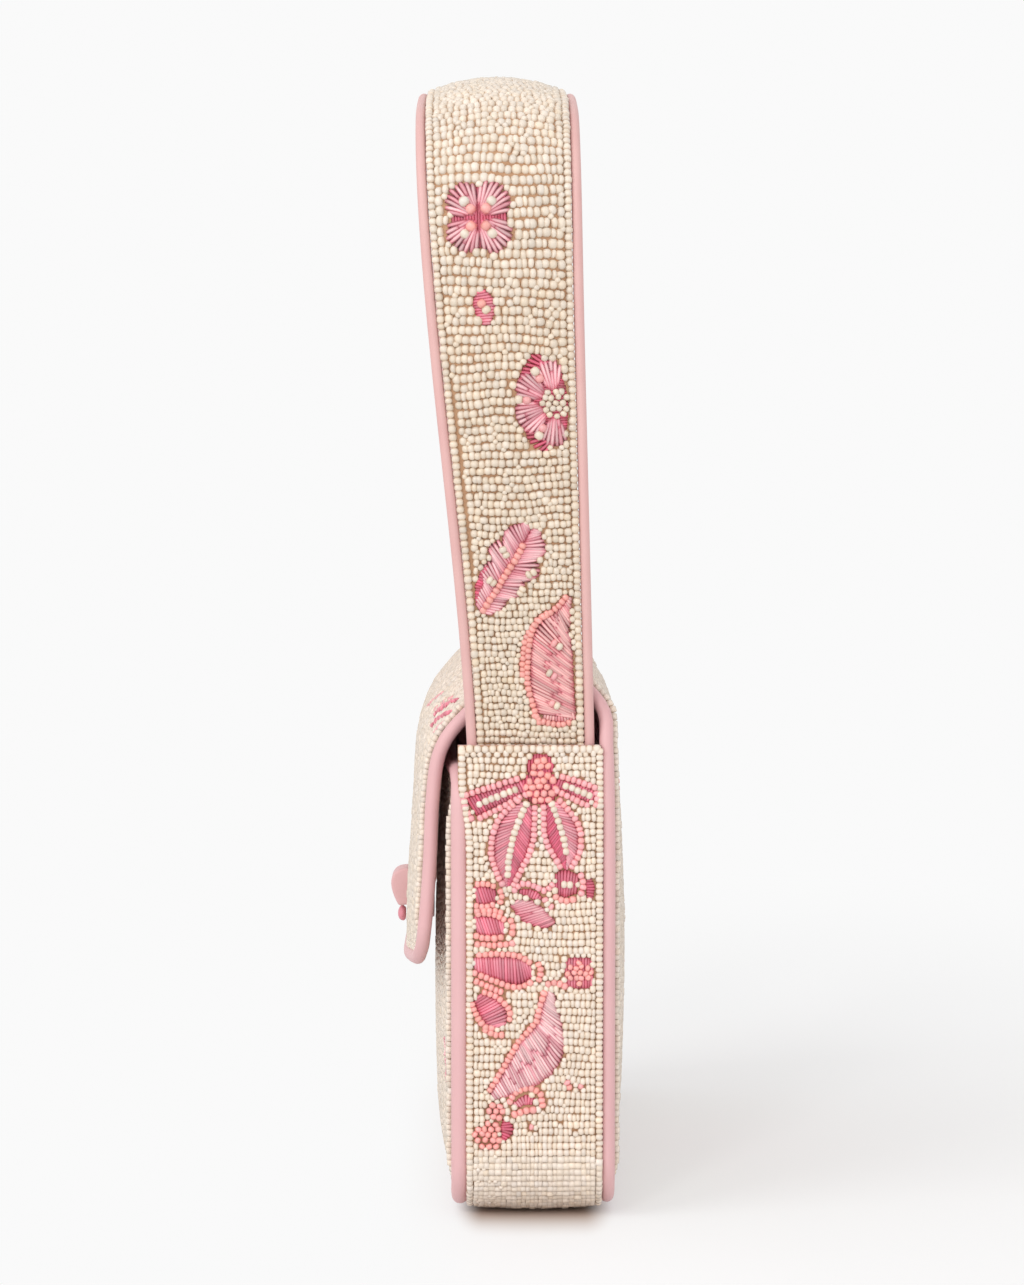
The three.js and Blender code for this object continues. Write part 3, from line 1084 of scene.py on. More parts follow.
class Embroidery:
    """Beads and silk sewn to one surface, kept clear of each other."""

    BED = 1.5
    SHADE = 0.05
    WARMTH = np.array([0.0, 0.012, 0.035])
    BRIGHTEST = 0.95
    ROSY = 0.6
    BLUNT = 0.95
    # The ends of each bead are darkened: painted shade where beads meet, tan on ivory and red on coral and
    # pink, like the thread.
    BEAD_END_SHADE = np.array([0.91, 0.82, 0.74])
    ROSY_END_SHADE = np.array([0.84, 0.6, 0.62])
    # Painted light on the silk: each strand's flanks are darkened as painted shade between strands, and along
    # it the middle is lightened as a painted highlight and the stitch ends darkened as painted shade.
    STRAND_FLANK_SHADE = np.array([0.8, 0.42, 0.52])
    STRAND_LIGHT_AND_SHADE = np.array([[0.95, 0.5, 0.62], [1.0, 0.98, 0.98], [1.05, 1.06, 1.06], [1.0, 0.98, 0.98],
                             [0.95, 0.5, 0.62]])
    LINE_LENGTH = 1.75
    LINE_RADIUS = 1.18
    PACKED_ROWS = 0.87
    PACKED_GIRTH = 0.54
    PACKED_RISE = 0.35
    LEAST_HALF = 0.15
    SCALLOP = (0.74, 0.3)
    EDGE_GAP = 0.85
    RIB_SIZE = 1.1
    RIB_RISE = 0.6
    WAVES = ((8.3, 21.0, 1.0), (4.1, -13.0, 0.6))
    CALM_ENDS = 6.0
    CALM_COLUMNS = 0.15
    FULL_COLUMNS = 1.16
    DRIFT = 0.1
    DRIFT_LENGTH = 9.0
    DRIFT_PHASES = 7.0
    FILL_STEP = 0.6
    FILL_ROOM = 0.7
    FILL_APART = 0.8
    FILL_GIRTH = 0.58
    STRAND_STEP = 0.88
    STRAND_WIDTH = 1.36
    STRAND_HEIGHT = 0.4
    DEEP_SHARE = 0.2
    DEEP_STRAND = np.array([0.83, 0.57, 0.64])
    STITCH = 7.0
    STITCH_UNEVEN = 0.4
    STITCH_STAGGER = 0.45
    STITCH_END = 0.92
    RAGGED = (-0.2, 0.3)
    RISE_UNEVEN = 0.12
    STRAND_UNEVEN = 0.15
    SHARES = np.array([0.0, 0.2, 0.5, 0.8, 1.0])
    ARCH = np.array([0.0, 0.78, 1.0, 0.78, 0.0])
    CLEAR = 1.5
    MARGIN = 0.5
    CROWDED = 0.8

    def __init__(self, surface: Surface, seed: int,
                 proud: Callable[[Array, Array], Array] = lambda u, v: 0.0 * u,
                 tone: Along = lambda v: np.ones((len(v), 1))) -> None:
        """Start bare.

        Args:
            surface: The wall to sew to.
            seed: The seed of its random differences.
            proud: Gives how much higher than the rest the beads at u and v stand.
            tone: Gives what the colours of the beads at v are multiplied by.
        """
        self.surface = surface
        self.proud = proud
        self.tone = tone
        self.rng = np.random.default_rng(seed)
        self.beads: list[Array] = []
        self.bead_tints: list[Array] = []
        self.strands: list[Array] = []
        self.strand_tints: list[Array] = []
        self.fields: list[Array] = []
        self.sewn: list[Array] = []

    def add_beads(self, spots: Array, heading: Array, length: Array, radius: Array,
                  lift: Array, colours: Array) -> None:
        """Keep beads for later.

        Args:
            spots: Places, as rows of u and v.
            heading: Angles of the holes, from the u direction.
            length: Lengths along the holes.
            radius: Radii.
            lift: Heights of the tops above the surface.
            colours: Linear colours, or one for all of them.
        """
        count = len(spots)
        self.beads.append(np.column_stack([spots, heading, length, radius, lift]))
        shade = 1 + self.SHADE * self.rng.standard_normal((count, 1))
        warmth = 1 + self.WARMTH * self.rng.standard_normal((count, 1))
        self.bead_tints.append(np.clip(colours * shade * warmth, 0, self.BRIGHTEST))

    def string(self, path: Array, glass: Sequence[Glass], length: float = LINE_LENGTH,
               radius: float = LINE_RADIUS, proud: float = 0.0) -> None:
        """String beads along a path.

        Args:
            path: Points of the path.
            glass: Colours, repeated along it.
            length: The length of a bead.
            radius: The radius of a bead.
            proud: How much higher than the rest the beads stand.
        """
        run = lengths_along(path)
        count = max(1, round(run[-1] / length))
        spread = length * (1 + STRUNG.length * self.rng.standard_normal(count))
        spread *= run[-1] / spread.sum() if count > 1 else 1
        middle = np.cumsum(spread) - spread / 2 if count > 1 else np.array([run[-1] / 2])
        spots = look_up(middle, run, path) + STRUNG.place * self.rng.standard_normal((count, 2))
        ahead = look_up(middle, run, np.gradient(path, run, axis=0))
        heading = np.arctan2(ahead[:, 1], ahead[:, 0]) + STRUNG.heading * self.rng.standard_normal(count)
        colours = np.array([to_linear(glass[k % len(glass)].value) for k in range(count)])
        radii = radius * (1 + STRUNG.girth * self.rng.standard_normal(count))
        lift = proud + STRUNG.lift * self.rng.standard_normal(count) - STRUNG.sink
        self.add_beads(spots, heading, STRUNG.full * spread, radii, lift, colours)
        self.sewn.append(spots)

    def cluster(self, centre: Array, radius: float, glass: Glass, step: float) -> None:
        """Pack beads into a round patch that stands up a little.

        Args:
            centre: The middle of the patch.
            radius: Its radius.
            glass: The colour of the beads.
            step: The distance between two beads.
        """
        reach = int(radius / step) + 2
        rows, columns = np.mgrid[-reach:reach + 1, -reach:reach + 1]
        spots = np.stack([step * (columns + 0.5 * (rows % 2)), self.PACKED_ROWS * step * rows], axis=-1)
        spots = spots.reshape(-1, 2)
        spots += PACKED.place * step * self.rng.standard_normal(spots.shape)
        away = np.linalg.norm(spots, axis=1)
        kept = away < radius
        if self.sewn:
            kept &= self._apart(spots + centre, np.vstack(self.sewn)) > self.CROWDED * step
        spots, away = spots[kept] + centre, away[kept]
        count = len(spots)
        heading = self.rng.uniform(0, PACKED.heading, count)
        length = PACKED.full * step * (1 + PACKED.length * self.rng.standard_normal(count))
        girth = self.PACKED_GIRTH * step * (1 + PACKED.girth * self.rng.standard_normal(count))
        lift = self.PACKED_RISE * (1 - (away / radius) ** 2) + PACKED.lift * self.rng.standard_normal(count)
        self.add_beads(spots, heading, length, girth, lift, to_linear(glass.value))
        self.sewn.append(spots)

    def satin(self, stroke: Stroke, spray: Spray) -> None:
        """Fill a shape with silk strands, and sew the beads that line it.

        Args:
            stroke: The shape.
            spray: The group that places it.
        """
        middle = smooth_line(spray.move(stroke.line))
        knots = np.linspace(0, len(stroke.half) - 1, len(middle))
        half = spray.size * knot_spline(np.array(stroke.half)[:, None], knots)[:, 0]
        half = np.maximum(half, self.LEAST_HALF)
        run = lengths_along(middle)
        if stroke.scallops:
            lobes = np.abs(np.sin(math.pi * stroke.scallops * run / run[-1]))
            half = half * (self.SCALLOP[0] + self.SCALLOP[1] * lobes)
        ahead = unit(np.gradient(middle, run, axis=0))
        aside = np.stack([-ahead[:, 1], ahead[:, 0]], axis=1)
        left = middle + aside * half[:, None]
        right = middle - aside * half[:, None]
        self.fields.append(np.vstack([left, right[::-1]]))

        step = stroke.step * self.STRAND_STEP
        stations = np.arange(step / 2, run[-1], step)
        slant_tip = stroke.slant if stroke.slant_tip is None else stroke.slant_tip
        slant = np.radians(stroke.slant + (slant_tip - stroke.slant) * stations / run[-1])
        ahead_by = np.tan(slant) * np.interp(stations, run, half)
        share = (stations / run[-1])[:, None]
        start, tip = to_linear(stroke.silk.value), to_linear((stroke.tip or stroke.silk).value)
        tint = start + (tip - start) * share
        root = np.tile(to_linear(stroke.root.value), (len(stations), 1)) if stroke.root else None
        wide = stroke.step * self.STRAND_WIDTH
        if stroke.split:
            other = to_linear((stroke.right or stroke.silk).value) + (tip - start) * share
            from_middle = look_up(stations, run, middle)
            for side, colour in ((left, tint), (right, other)):
                to_side = look_up(stations + ahead_by, run, side)
                first = colour if root is None else root
                self._strands(from_middle, to_side, first, colour, stroke.rise, wide)
        else:
            self._strands(look_up(stations + ahead_by, run, left), look_up(stations - ahead_by, run, right),
                          tint if root is None else root, tint, stroke.rise, wide)

        for side in stroke.edge.value:
            self.string(middle + side * aside * (half + self.EDGE_GAP)[:, None], (stroke.edge_glass,))
        if stroke.rib:
            low, high = stroke.rib_span
            kept = (run >= low * run[-1]) & (run <= high * run[-1])
            self.string(middle[kept], stroke.rib, self.RIB_SIZE * self.LINE_LENGTH,
                        self.RIB_SIZE * self.LINE_RADIUS, self.RIB_RISE * stroke.rise)

    def _strands(self, start: Array, end: Array, first: Array, last: Array,
                 rise: float, wide: float) -> None:
        """Keep silk strands for later.

        Args:
            start: Where each strand leaves the cloth.
            end: Where it goes back in.
            first: Linear colours at the start.
            last: Linear colours at the end.
            rise: How high it stands in the middle.
            wide: How wide it is.
        """
        count = len(start)
        along = unit(end - start + NEARLY_ZERO)
        start = start - along * self.rng.uniform(*self.RAGGED, (count, 1))
        end = end + along * self.rng.uniform(*self.RAGGED, (count, 1))
        uneven = self.rng.uniform(-self.STITCH_UNEVEN, self.STITCH_UNEVEN, count)
        stitches = np.rint(np.linalg.norm(end - start, axis=1) / self.STITCH + uneven)
        stitches = np.maximum(1, stitches).astype(int)
        most = int(stitches.max())
        shift = self.rng.uniform(-self.STITCH_STAGGER, self.STITCH_STAGGER, (count, most + 1))
        shift[:, 0] = 0
        shift[np.arange(count), stitches] = 0
        cuts = (np.arange(most + 1) + shift) / stitches[:, None]
        for k in range(most):
            kept = stitches > k
            number = int(kept.sum())
            span = (end - start)[kept]
            low = start[kept] + cuts[kept, k:k + 1] * span
            high = start[kept] + cuts[kept, k + 1:k + 2] * span
            height = rise * (1 + self.RISE_UNEVEN * self.rng.standard_normal((number, 1)))
            dips = self.STITCH_END * np.hstack([np.full((number, 1), k > 0), stitches[kept, None] > k + 1])
            self.strands.append(np.hstack([low, high, height, dips, np.full((number, 1), wide)]))
            shade = 1 + self.STRAND_UNEVEN * np.clip(self.rng.standard_normal((number, 1)), -2, 2)
            shade = shade * np.where(self.rng.random((number, 1)) < self.DEEP_SHARE, self.DEEP_STRAND, 1.0)
            shade = np.hstack([shade, shade])
            ends = [first[kept] + cuts[kept, j:j + 1] * (last - first)[kept] for j in (k, k + 1)]
            self.strand_tints.append(np.clip(np.hstack(ends) * shade, 0, self.BRIGHTEST))

    def work(self, spray: Spray) -> None:
        """Sew a group of ornament."""
        for element in spray.elements:
            if isinstance(element, Stroke):
                self.satin(element, spray)
            elif isinstance(element, BeadLine):
                self.string(smooth_line(spray.move(element.line)), element.glass,
                            element.size * self.LINE_LENGTH, element.size * self.LINE_RADIUS, element.lift)
            else:
                if element.ground:
                    self.satin(element.patch(), spray)
                self.cluster(spray.move([element.centre])[0], spray.size * element.radius, element.glass,
                             element.step)

    def rows(self, plan: RowPlan, start: float, end: float, half_at: Along, shift: Along) -> None:
        """Fill what is left of a stretch with plain rows, and then the gaps that they leave.

        Args:
            plan: How the rows are laid.
            start: Where the stretch starts.
            end: Where it ends.
            half_at: Gives how far a row reaches to each side.
            shift: Gives how far aside the middle of a row stands.
        """
        sewn = np.vstack(self.sewn)
        phases = self.rng.uniform(0, 2 * math.pi, 3)
        ivory = to_linear(Glass.IVORY.value)
        columns: Optional[Array] = None
        v = start
        while v < end:
            pitch, length, girth = plan.at(v)
            half = float(half_at(np.array(v + pitch / 2)))
            count = max(1, round(2 * half / length))
            spread = length * (1 + ROWED.length * np.clip(self.rng.standard_normal(count), -2, 2))
            in_columns = plan.aligned[0] < v < plan.aligned[1]
            if in_columns:
                columns = spread if columns is None else columns
                spread = columns
            spread = spread * 2 * half / spread.sum()
            u = np.cumsum(spread) - spread / 2 - half
            calm = plan.wave * min(1.0, (v - start) / self.CALM_ENDS, (end - v) / self.CALM_ENDS)
            calm *= self.CALM_COLUMNS if in_columns else 1.0
            sway, slope = self._sway(u, v, phases)
            spots = np.stack([u + shift(np.array(v)), v + pitch / 2 + calm * sway], axis=1)
            spots += plan.scatter * ROWED.place * self.rng.standard_normal(spots.shape)
            heading = calm * slope + ROWED.heading * plan.scatter * self.rng.standard_normal(count)
            radius = girth * (1 + ROWED.girth * self.rng.standard_normal(count))
            lift = ROWED.lift * self.rng.standard_normal(count) - ROWED.sink
            full = self.FULL_COLUMNS if in_columns else ROWED.full
            kept = self.rng.random(count) > plan.missing
            kept &= self._free(spots, sewn)
            self.add_beads(spots[kept], heading[kept], full * spread[kept], radius[kept], lift[kept], ivory)
            v += pitch
        self.fill_gaps(plan, start, end, half_at, shift)

    def _sway(self, u: Array, v: float, phases: Array) -> tuple[Array, Array]:
        """Give how a row at v wanders, and its slope.

        Args:
            u: Places along the row.
            v: Where the row lies.
            phases: Where its waves start.

        Returns:
            The wandering and the slope at each place.
        """
        sway, slope = np.zeros_like(u), np.zeros_like(u)
        for (across, along, share), phase in zip(self.WAVES, phases):
            angle = u / across + v / along + phase
            sway = sway + share * np.sin(angle)
            slope = slope + share * np.cos(angle) / across
        return sway, slope

    def columns(self, pitch: float, length: float, girth: float, half: float, end: float,
                reach: Along, narrow: Along) -> None:
        """Fill what is left of a panel with plain upright rows that start at random heights.

        Args:
            pitch: The distance between rows.
            length: The length of a bead.
            girth: The radius of a bead.
            half: How far the outermost rows stand from the middle.
            end: The length of the panel.
            reach: Gives how far the rows may stand from the middle at v.
            narrow: Gives how much the rows draw together at v.
        """
        sewn = np.vstack(self.sewn)
        ivory = to_linear(Glass.IVORY.value)
        number = round(2 * half / pitch)
        fine = np.linspace(0, end, 400)
        for place in np.linspace(-half, half, number + 1):
            run = lengths_along(self.surface.place(place * narrow(fine), fine, 0.0))
            count = int(run[-1] / length) + 2
            spread = length * (1 + UPRIGHT.length * self.rng.standard_normal(count))
            v = np.interp(np.cumsum(spread) - spread / 2 - length * self.rng.random(), run, fine)
            drift = np.sin(v / self.DRIFT_LENGTH + self.DRIFT_PHASES * self.rng.random())
            u = place * narrow(v) + self.DRIFT * drift
            u = u + UPRIGHT.place * self.rng.standard_normal(count)
            spots = np.stack([u, v], axis=1)
            kept = (v > self.CLEAR) & (v < end - self.CLEAR)
            spots, spread = spots[kept], spread[kept]
            kept = np.abs(spots[:, 0]) < reach(spots[:, 1])
            kept &= self._free(spots, sewn)
            spots, spread = spots[kept], spread[kept]
            count = len(spots)
            heading = math.pi / 2 + UPRIGHT.heading * self.rng.standard_normal(count)
            radius = girth * (1 + UPRIGHT.girth * self.rng.standard_normal(count))
            lift = UPRIGHT.lift * self.rng.standard_normal(count) - UPRIGHT.sink
            self.add_beads(spots, heading, UPRIGHT.full * spread, radius, lift, ivory)

    def fill_gaps(self, plan: RowPlan, start: float, end: float, half_at: Along, shift: Along) -> None:
        """Sew single beads into the gaps that the rows leave beside the ornament.

        Args:
            plan: How the rows were laid, for the size of a bead.
            start: Where the stretch starts.
            end: Where it ends.
            half_at: Gives how far to each side the stretch reaches at v.
            shift: Gives how far aside the middle of the stretch stands at v.
        """
        widest = float(np.max(half_at(np.linspace(start, end, 200))))
        u, v = np.meshgrid(np.arange(-widest, widest, self.FILL_STEP), np.arange(start, end, self.FILL_STEP))
        spots = np.stack([u.ravel(), v.ravel()], axis=1)
        spots = spots[np.abs(spots[:, 0] - shift(spots[:, 1])) <= half_at(spots[:, 1])]
        tree = kdtree.KDTree(sum(len(batch) for batch in self.beads))
        for number, bead in enumerate(np.vstack(self.beads)):
            tree.insert((bead[0], bead[1], 0.0), number)
        tree.balance()
        rows = np.array(plan.table)
        pitch, length = (np.interp(spots[:, 1], rows[:, 0], rows[:, k]) for k in (1, 2))
        size = 0.5 * (pitch + length)
        room = np.array([tree.find((spot[0], spot[1], 0.0))[2] for spot in spots])
        wide = room > self.FILL_ROOM * size
        spots, size, room = spots[wide], size[wide], room[wide]
        if not len(spots):
            return
        clear = self._free(spots, np.zeros((0, 2)))
        spots, size, room = spots[clear], size[clear], room[clear]
        taken: list[int] = []
        for number in np.argsort(-room):
            near = np.linalg.norm(spots[taken] - spots[number], axis=1) < self.FILL_APART * size[number]
            if not near.any():
                taken.append(int(number))
        count = len(taken)
        spots, size, room = spots[taken], size[taken], np.minimum(room[taken], size[taken])
        heading = self.rng.uniform(0, FILLED.heading, count)
        lift = FILLED.lift * self.rng.standard_normal(count) - FILLED.sink
        self.add_beads(spots, heading, FILLED.full * room, self.FILL_GIRTH * room, lift,
                       to_linear(Glass.IVORY.value))

    def _free(self, spots: Array, sewn: Array) -> Array:
        """Tell which places are clear of silk and of beads that are already sewn.

        Args:
            spots: The places.
            sewn: The places of those beads.

        Returns:
            True for each place that is clear.
        """
        free = np.ones(len(spots), bool)
        if not len(spots):
            return free
        low, high = spots.min(0) - self.CLEAR, spots.max(0) + self.CLEAR
        near = sewn[np.all((sewn > low) & (sewn < high), axis=1)]
        if len(near):
            free &= self._apart(spots, near) > self.CLEAR
        for outline in self.fields:
            if np.any(outline.max(0) < low) or np.any(outline.min(0) > high):
                continue
            free &= ~inside(spots, outline)
            free &= self._apart(spots, outline) > self.MARGIN
        return free

    @staticmethod
    def _apart(spots: Array, others: Array) -> Array:
        """Give each place's distance from the nearest of some others."""
        return np.linalg.norm(spots[:, None] - others[None], axis=2).min(1)

    def bead_mesh(self, name: str, start: float, end: float, facets: Counts) -> Mesh:
        """Join the beads of a stretch into one mesh, with painted shade at the ends of each bead.

        Args:
            name: The name of the mesh.
            start: Where the stretch starts.
            end: Where it ends.
            facets: Faces round a bead, and bands of faces along it.

        Returns:
            The mesh.
        """
        beads = np.vstack(self.beads)
        tints = np.vstack(self.bead_tints)
        kept = (beads[:, 1] >= start) & (beads[:, 1] < end)
        u, v, heading, length, radius, lift = beads[kept].T
        spots, across, along, out = self.surface.axes(u, v, lift + self.proud(u, v) - radius)
        hole = np.cos(heading)[:, None] * across + np.sin(heading)[:, None] * along
        aside = np.cross(out, hole)
        corners, faces, layout = bead_template(*facets)
        # Painted shade: the end vertices of each bead are darkened where it meets its neighbours.
        rosy = tints[kept, 1] < self.ROSY * tints[kept, 0]
        dark = np.where(rosy[:, None, None], self.ROSY_END_SHADE, self.BEAD_END_SHADE)
        ends = np.where(np.abs(corners[None, :, 2:]) > self.BLUNT, dark, 1.0)
        shapes = (spots[:, None] + (length / 2)[:, None, None] * corners[None, :, 2:] * hole[:, None]
                  + radius[:, None, None] * (corners[None, :, :1] * aside[:, None]
                                             + corners[None, :, 1:2] * out[:, None]))
        own = (tints[kept] * self.tone(v))[:, None]
        return joined_mesh(name, shapes, faces, layout, own * ends, np.ones(len(faces), bool))

    def strand_mesh(self, name: str, start: float, end: float) -> Optional[Mesh]:
        """Join the silk strands of a stretch into one mesh, with painted light and shade on each strand.

        Args:
            name: The name of the mesh.
            start: Where the stretch starts.
            end: Where it ends.

        Returns:
            The mesh, or nothing where no silk is sewn.
        """
        if not self.strands:
            return None
        strands = np.vstack(self.strands)
        tints = np.vstack(self.strand_tints)
        kept = (strands[:, 1] >= start) & (strands[:, 1] < end)
        if not kept.any():
            return None
        strands, tints = strands[kept], tints[kept]
        sections = len(self.SHARES)
        ends = np.eye(sections)[[0, -1]]
        span = strands[:, None, 2:4] - strands[:, None, :2]
        flat = strands[:, None, :2] + self.SHARES[None, :, None] * span
        lift = strands[:, 4:5] * (self.ARCH[None] + strands[:, 5:7] @ ends) - self.BED
        lift = lift + self.proud(flat[..., 0], flat[..., 1])
        spots, across, along, out = self.surface.axes(flat[..., 0], flat[..., 1], lift)
        ahead = unit(strands[:, 2:4] - strands[:, :2] + NEARLY_ZERO)
        aside = ahead[:, None, :1] * along - ahead[:, None, 1:] * across
        width = strands[:, 7:, None]
        wide = width / 2 * aside
        ridge = spots + self.STRAND_HEIGHT * width * out
        shapes = np.stack([spots - wide, ridge, spots + wide], axis=2).reshape(len(strands), -1, 3)
        faces, layout, smooth = strand_template(sections)
        first, last = tints[:, None, :3], tints[:, None, 3:]
        body = first + np.sqrt(self.SHARES)[None, :, None] * (last - first)
        # Painted shade on the flanks and at the stitch ends, and a painted highlight along the middle.
        shade = self.STRAND_LIGHT_AND_SHADE[:, None] * np.stack([self.STRAND_FLANK_SHADE, np.ones(3), self.STRAND_FLANK_SHADE])[None]
        shaded = (body[:, :, None] * shade[None]).reshape(len(strands), -1, 3)
        return joined_mesh(name, shapes, faces, layout, np.clip(shaded, 0, self.BRIGHTEST), smooth)


FULLNESS = -0.1
MOST_STRETCH = 1.8


def bead_template(sides: int, rings: int) -> tuple[Array, Array, Array]:
    """Shape one round bead with blunt ends, of length 2 and radius 1, with its hole along the third axis.

    Args:
        sides: Faces round the bead.
        rings: Bands of faces along it.

    Returns:
        Its vertices, triangles and bake map.
    """
    shape = bmesh.new()
    bmesh.ops.create_uvsphere(shape, u_segments=sides, v_segments=rings, radius=1.0)
    bmesh.ops.triangulate(shape, faces=shape.faces)
    shape.verts.index_update()
    ball = np.array([vert.co for vert in shape.verts])
    faces = np.array([[vert.index for vert in face.verts] for face in shape.faces])
    shape.free()
    girth = np.hypot(ball[:, 0], ball[:, 1])
    pole = girth < SAME_PLACE
    fuller = np.maximum(girth, SAME_PLACE) ** FULLNESS
    stretch = min(1 / math.cos(math.pi / rings), MOST_STRETCH)
    corners = np.stack([ball[:, 0] * fuller, ball[:, 1] * fuller,
                        np.clip(stretch * ball[:, 2], -1, 1)], axis=1)
    turn = np.arctan2(ball[:, 1], ball[:, 0]) / (2 * math.pi) + 0.5
    layout = np.zeros((len(faces), 3, 2))
    for row, face in enumerate(faces):
        around = turn[face]
        body = ~pole[face]
        if np.ptp(around[body]) > 0.5:
            around = np.where(around < 0.5, around + 1, around)
        around[~body] = around[body].mean()
        layout[row, :, 0] = around * sides / (sides + 1)
        layout[row, :, 1] = (ball[face, 2] + 1) / 2
    return corners, faces, layout


def strand_template(sections: int) -> tuple[Array, Array, Array]:
    """Join the three-sided sections of one strand.

    Args:
        sections: The number of sections.

    Returns:
        Its triangles, its bake map and which triangles are shaded smoothly.
    """
    faces, layout, smooth = [], [], []
    reach = 0.86 / (sections - 1)
    for row in range(sections - 1):
        for side in range(3):
            near, far = 3 * row + side, 3 * row + (side + 1) % 3
            low, high = side / 3 + 0.02, side / 3 + 0.31
            a, b = (row * reach, low), (row * reach, high)
            c, d = ((row + 1) * reach, low), ((row + 1) * reach, high)
            faces += [(near, far, near + 3), (far, far + 3, near + 3)]
            layout += [(a, b, c), (b, d, c)]
            smooth += 2 * [side < 2]
    last = 3 * (sections - 1)
    faces += [(0, 2, 1), (last, last + 1, last + 2)]
    layout += [((0.9, 0.05), (0.98, 0.05), (0.94, 0.4)), ((0.9, 0.55), (0.98, 0.55), (0.94, 0.9))]
    smooth += [False, False]
    return np.array(faces), np.array(layout), np.array(smooth)


def shell_mesh(name: str, place: Callable[[Array, Array, float], Array], grid: Counts, wall: float) -> Mesh:
    """Make the closed cloth wall under the beads.

    Args:
        name: The name of the mesh.
        place: Gives positions for shares across and along, at a height.
        grid: Faces across and along.
        wall: How far its inner face is below the tops of the beads.

    Returns:
        The mesh, with face index 0 outside and 1 inside and round the rim.
    """
    shape = bmesh.new()
    bend_grid(shape, *grid, lambda s, t: place(s, t, -Embroidery.BED))
    outside = set(shape.faces)
    bend_grid(shape, *grid, lambda s, t: place(s, t, -wall))
    inside_faces = [face for face in shape.faces if face not in outside]
    bmesh.ops.reverse_faces(shape, faces=inside_faces)
    rim = [edge for edge in shape.edges if edge.is_boundary]
    made = bmesh.ops.bridge_loops(shape, edges=rim)
    for face in inside_faces + made["faces"]:
        face.material_index = 1
    return mesh_from(shape, name)


# Ornament groups

IVORY, CORAL, PINK = Glass
BLUSH, ROSE, MAGENTA, MAUVE, PEACH = Silk

# Shares of a petal's length at which its width is given.
PETAL_SHARES = (0, 0.4, 0.75, 1)


def coral_line(*line: Point) -> BeadLine:
    """String coral beads along a line."""
    return BeadLine(line, (CORAL,))


def pink_line(*line: Point) -> BeadLine:
    """String pink beads along a line."""
    return BeadLine(line, (PINK,))


def spokes(centre: Point, span: Point, angles: Sequence[float], glass: tuple[Glass, ...], size: float = 1.0,
           lift: float = 0.0) -> tuple[BeadLine, ...]:
    """String bead lines that point away from a centre, between two distances from it."""
    lines = (tuple(polar(centre, away, angle) for away in span) for angle in angles)
    return tuple(BeadLine(line, glass, size, lift) for line in lines)


def petal(centre: Point, angle: float, start: float, reach: float, half: float, silk: Silk,
          tip: Optional[Silk] = None, **more: object) -> Stroke:
    """Make one petal that points away from a centre, between two distances from it."""
    line = tuple(polar(centre, start + (reach - start) * share, angle) for share in PETAL_SHARES)
    return Stroke(line, (0.35 * half, 0.85 * half, half, 0.35 * half), silk, tip, **more)


def fan(centre: Point, angle: float, spread: float, inner: float, outer: float) -> Stroke:
    """Make one petal whose strands spread from a centre.

    Args:
        centre: The middle of the flower.
        angle: The way that it points, in degrees.
        spread: How far it reaches to each side, in degrees.
        inner: Where it starts, from the centre.
        outer: Where it ends.

    Returns:
        The petal.
    """
    half = (outer - inner) / 2
    line = tuple(polar(centre, inner + half, angle + spread * side) for side in (-1, -0.6, 0, 0.6, 1))
    widths = (0.5 * half, 0.88 * half, half, 0.88 * half, 0.5 * half)
    return Stroke(line, widths, BLUSH, root=ROSE, rise=0.8, step=1.15)


def blossom(centre: Point, petals: int, reach: float, turn: float) -> tuple[Element, ...]:
    """Make a round flower with beads round its petals and in its heart.

    Args:
        centre: Its middle.
        petals: The number of petals.
        reach: Its radius.
        turn: The angle of the first petal.

    Returns:
        Its elements.
    """
    heart = 0.24 * reach
    half = 0.72 * math.pi * reach / petals * 0.62
    made: list[Element] = []
    for k in range(petals):
        silk = ROSE if k % 2 else BLUSH
        made.append(petal(centre, turn + 360 * k / petals, heart + 1.2, reach, half, silk, BLUSH,
                          edge=Edge.BOTH, edge_glass=PINK))
    return (*made, Cluster(centre, heart + 0.6, CORAL))


def leaf(start: Point, end: Point, half: float, silk: Silk, right: Silk, glass: Glass) -> Stroke:
    """Make a leaf with a beaded midrib.

    Args:
        start: Its stalk end.
        end: Its tip.
        half: Half its greatest width.
        silk: The colour of its left side.
        right: The colour of its right side.
        glass: The colour of the midrib.

    Returns:
        The leaf.
    """
    (u0, v0), (u1, v1) = start, end
    line = tuple((u0 + (u1 - u0) * share, v0 + (v1 - v0) * share) for share in PETAL_SHARES)
    return Stroke(line, (0.3 * half, half, 0.8 * half, 0.1), silk, right=right, split=True, slant=35,
                  rib=(glass,), rib_span=(0, 0.85))


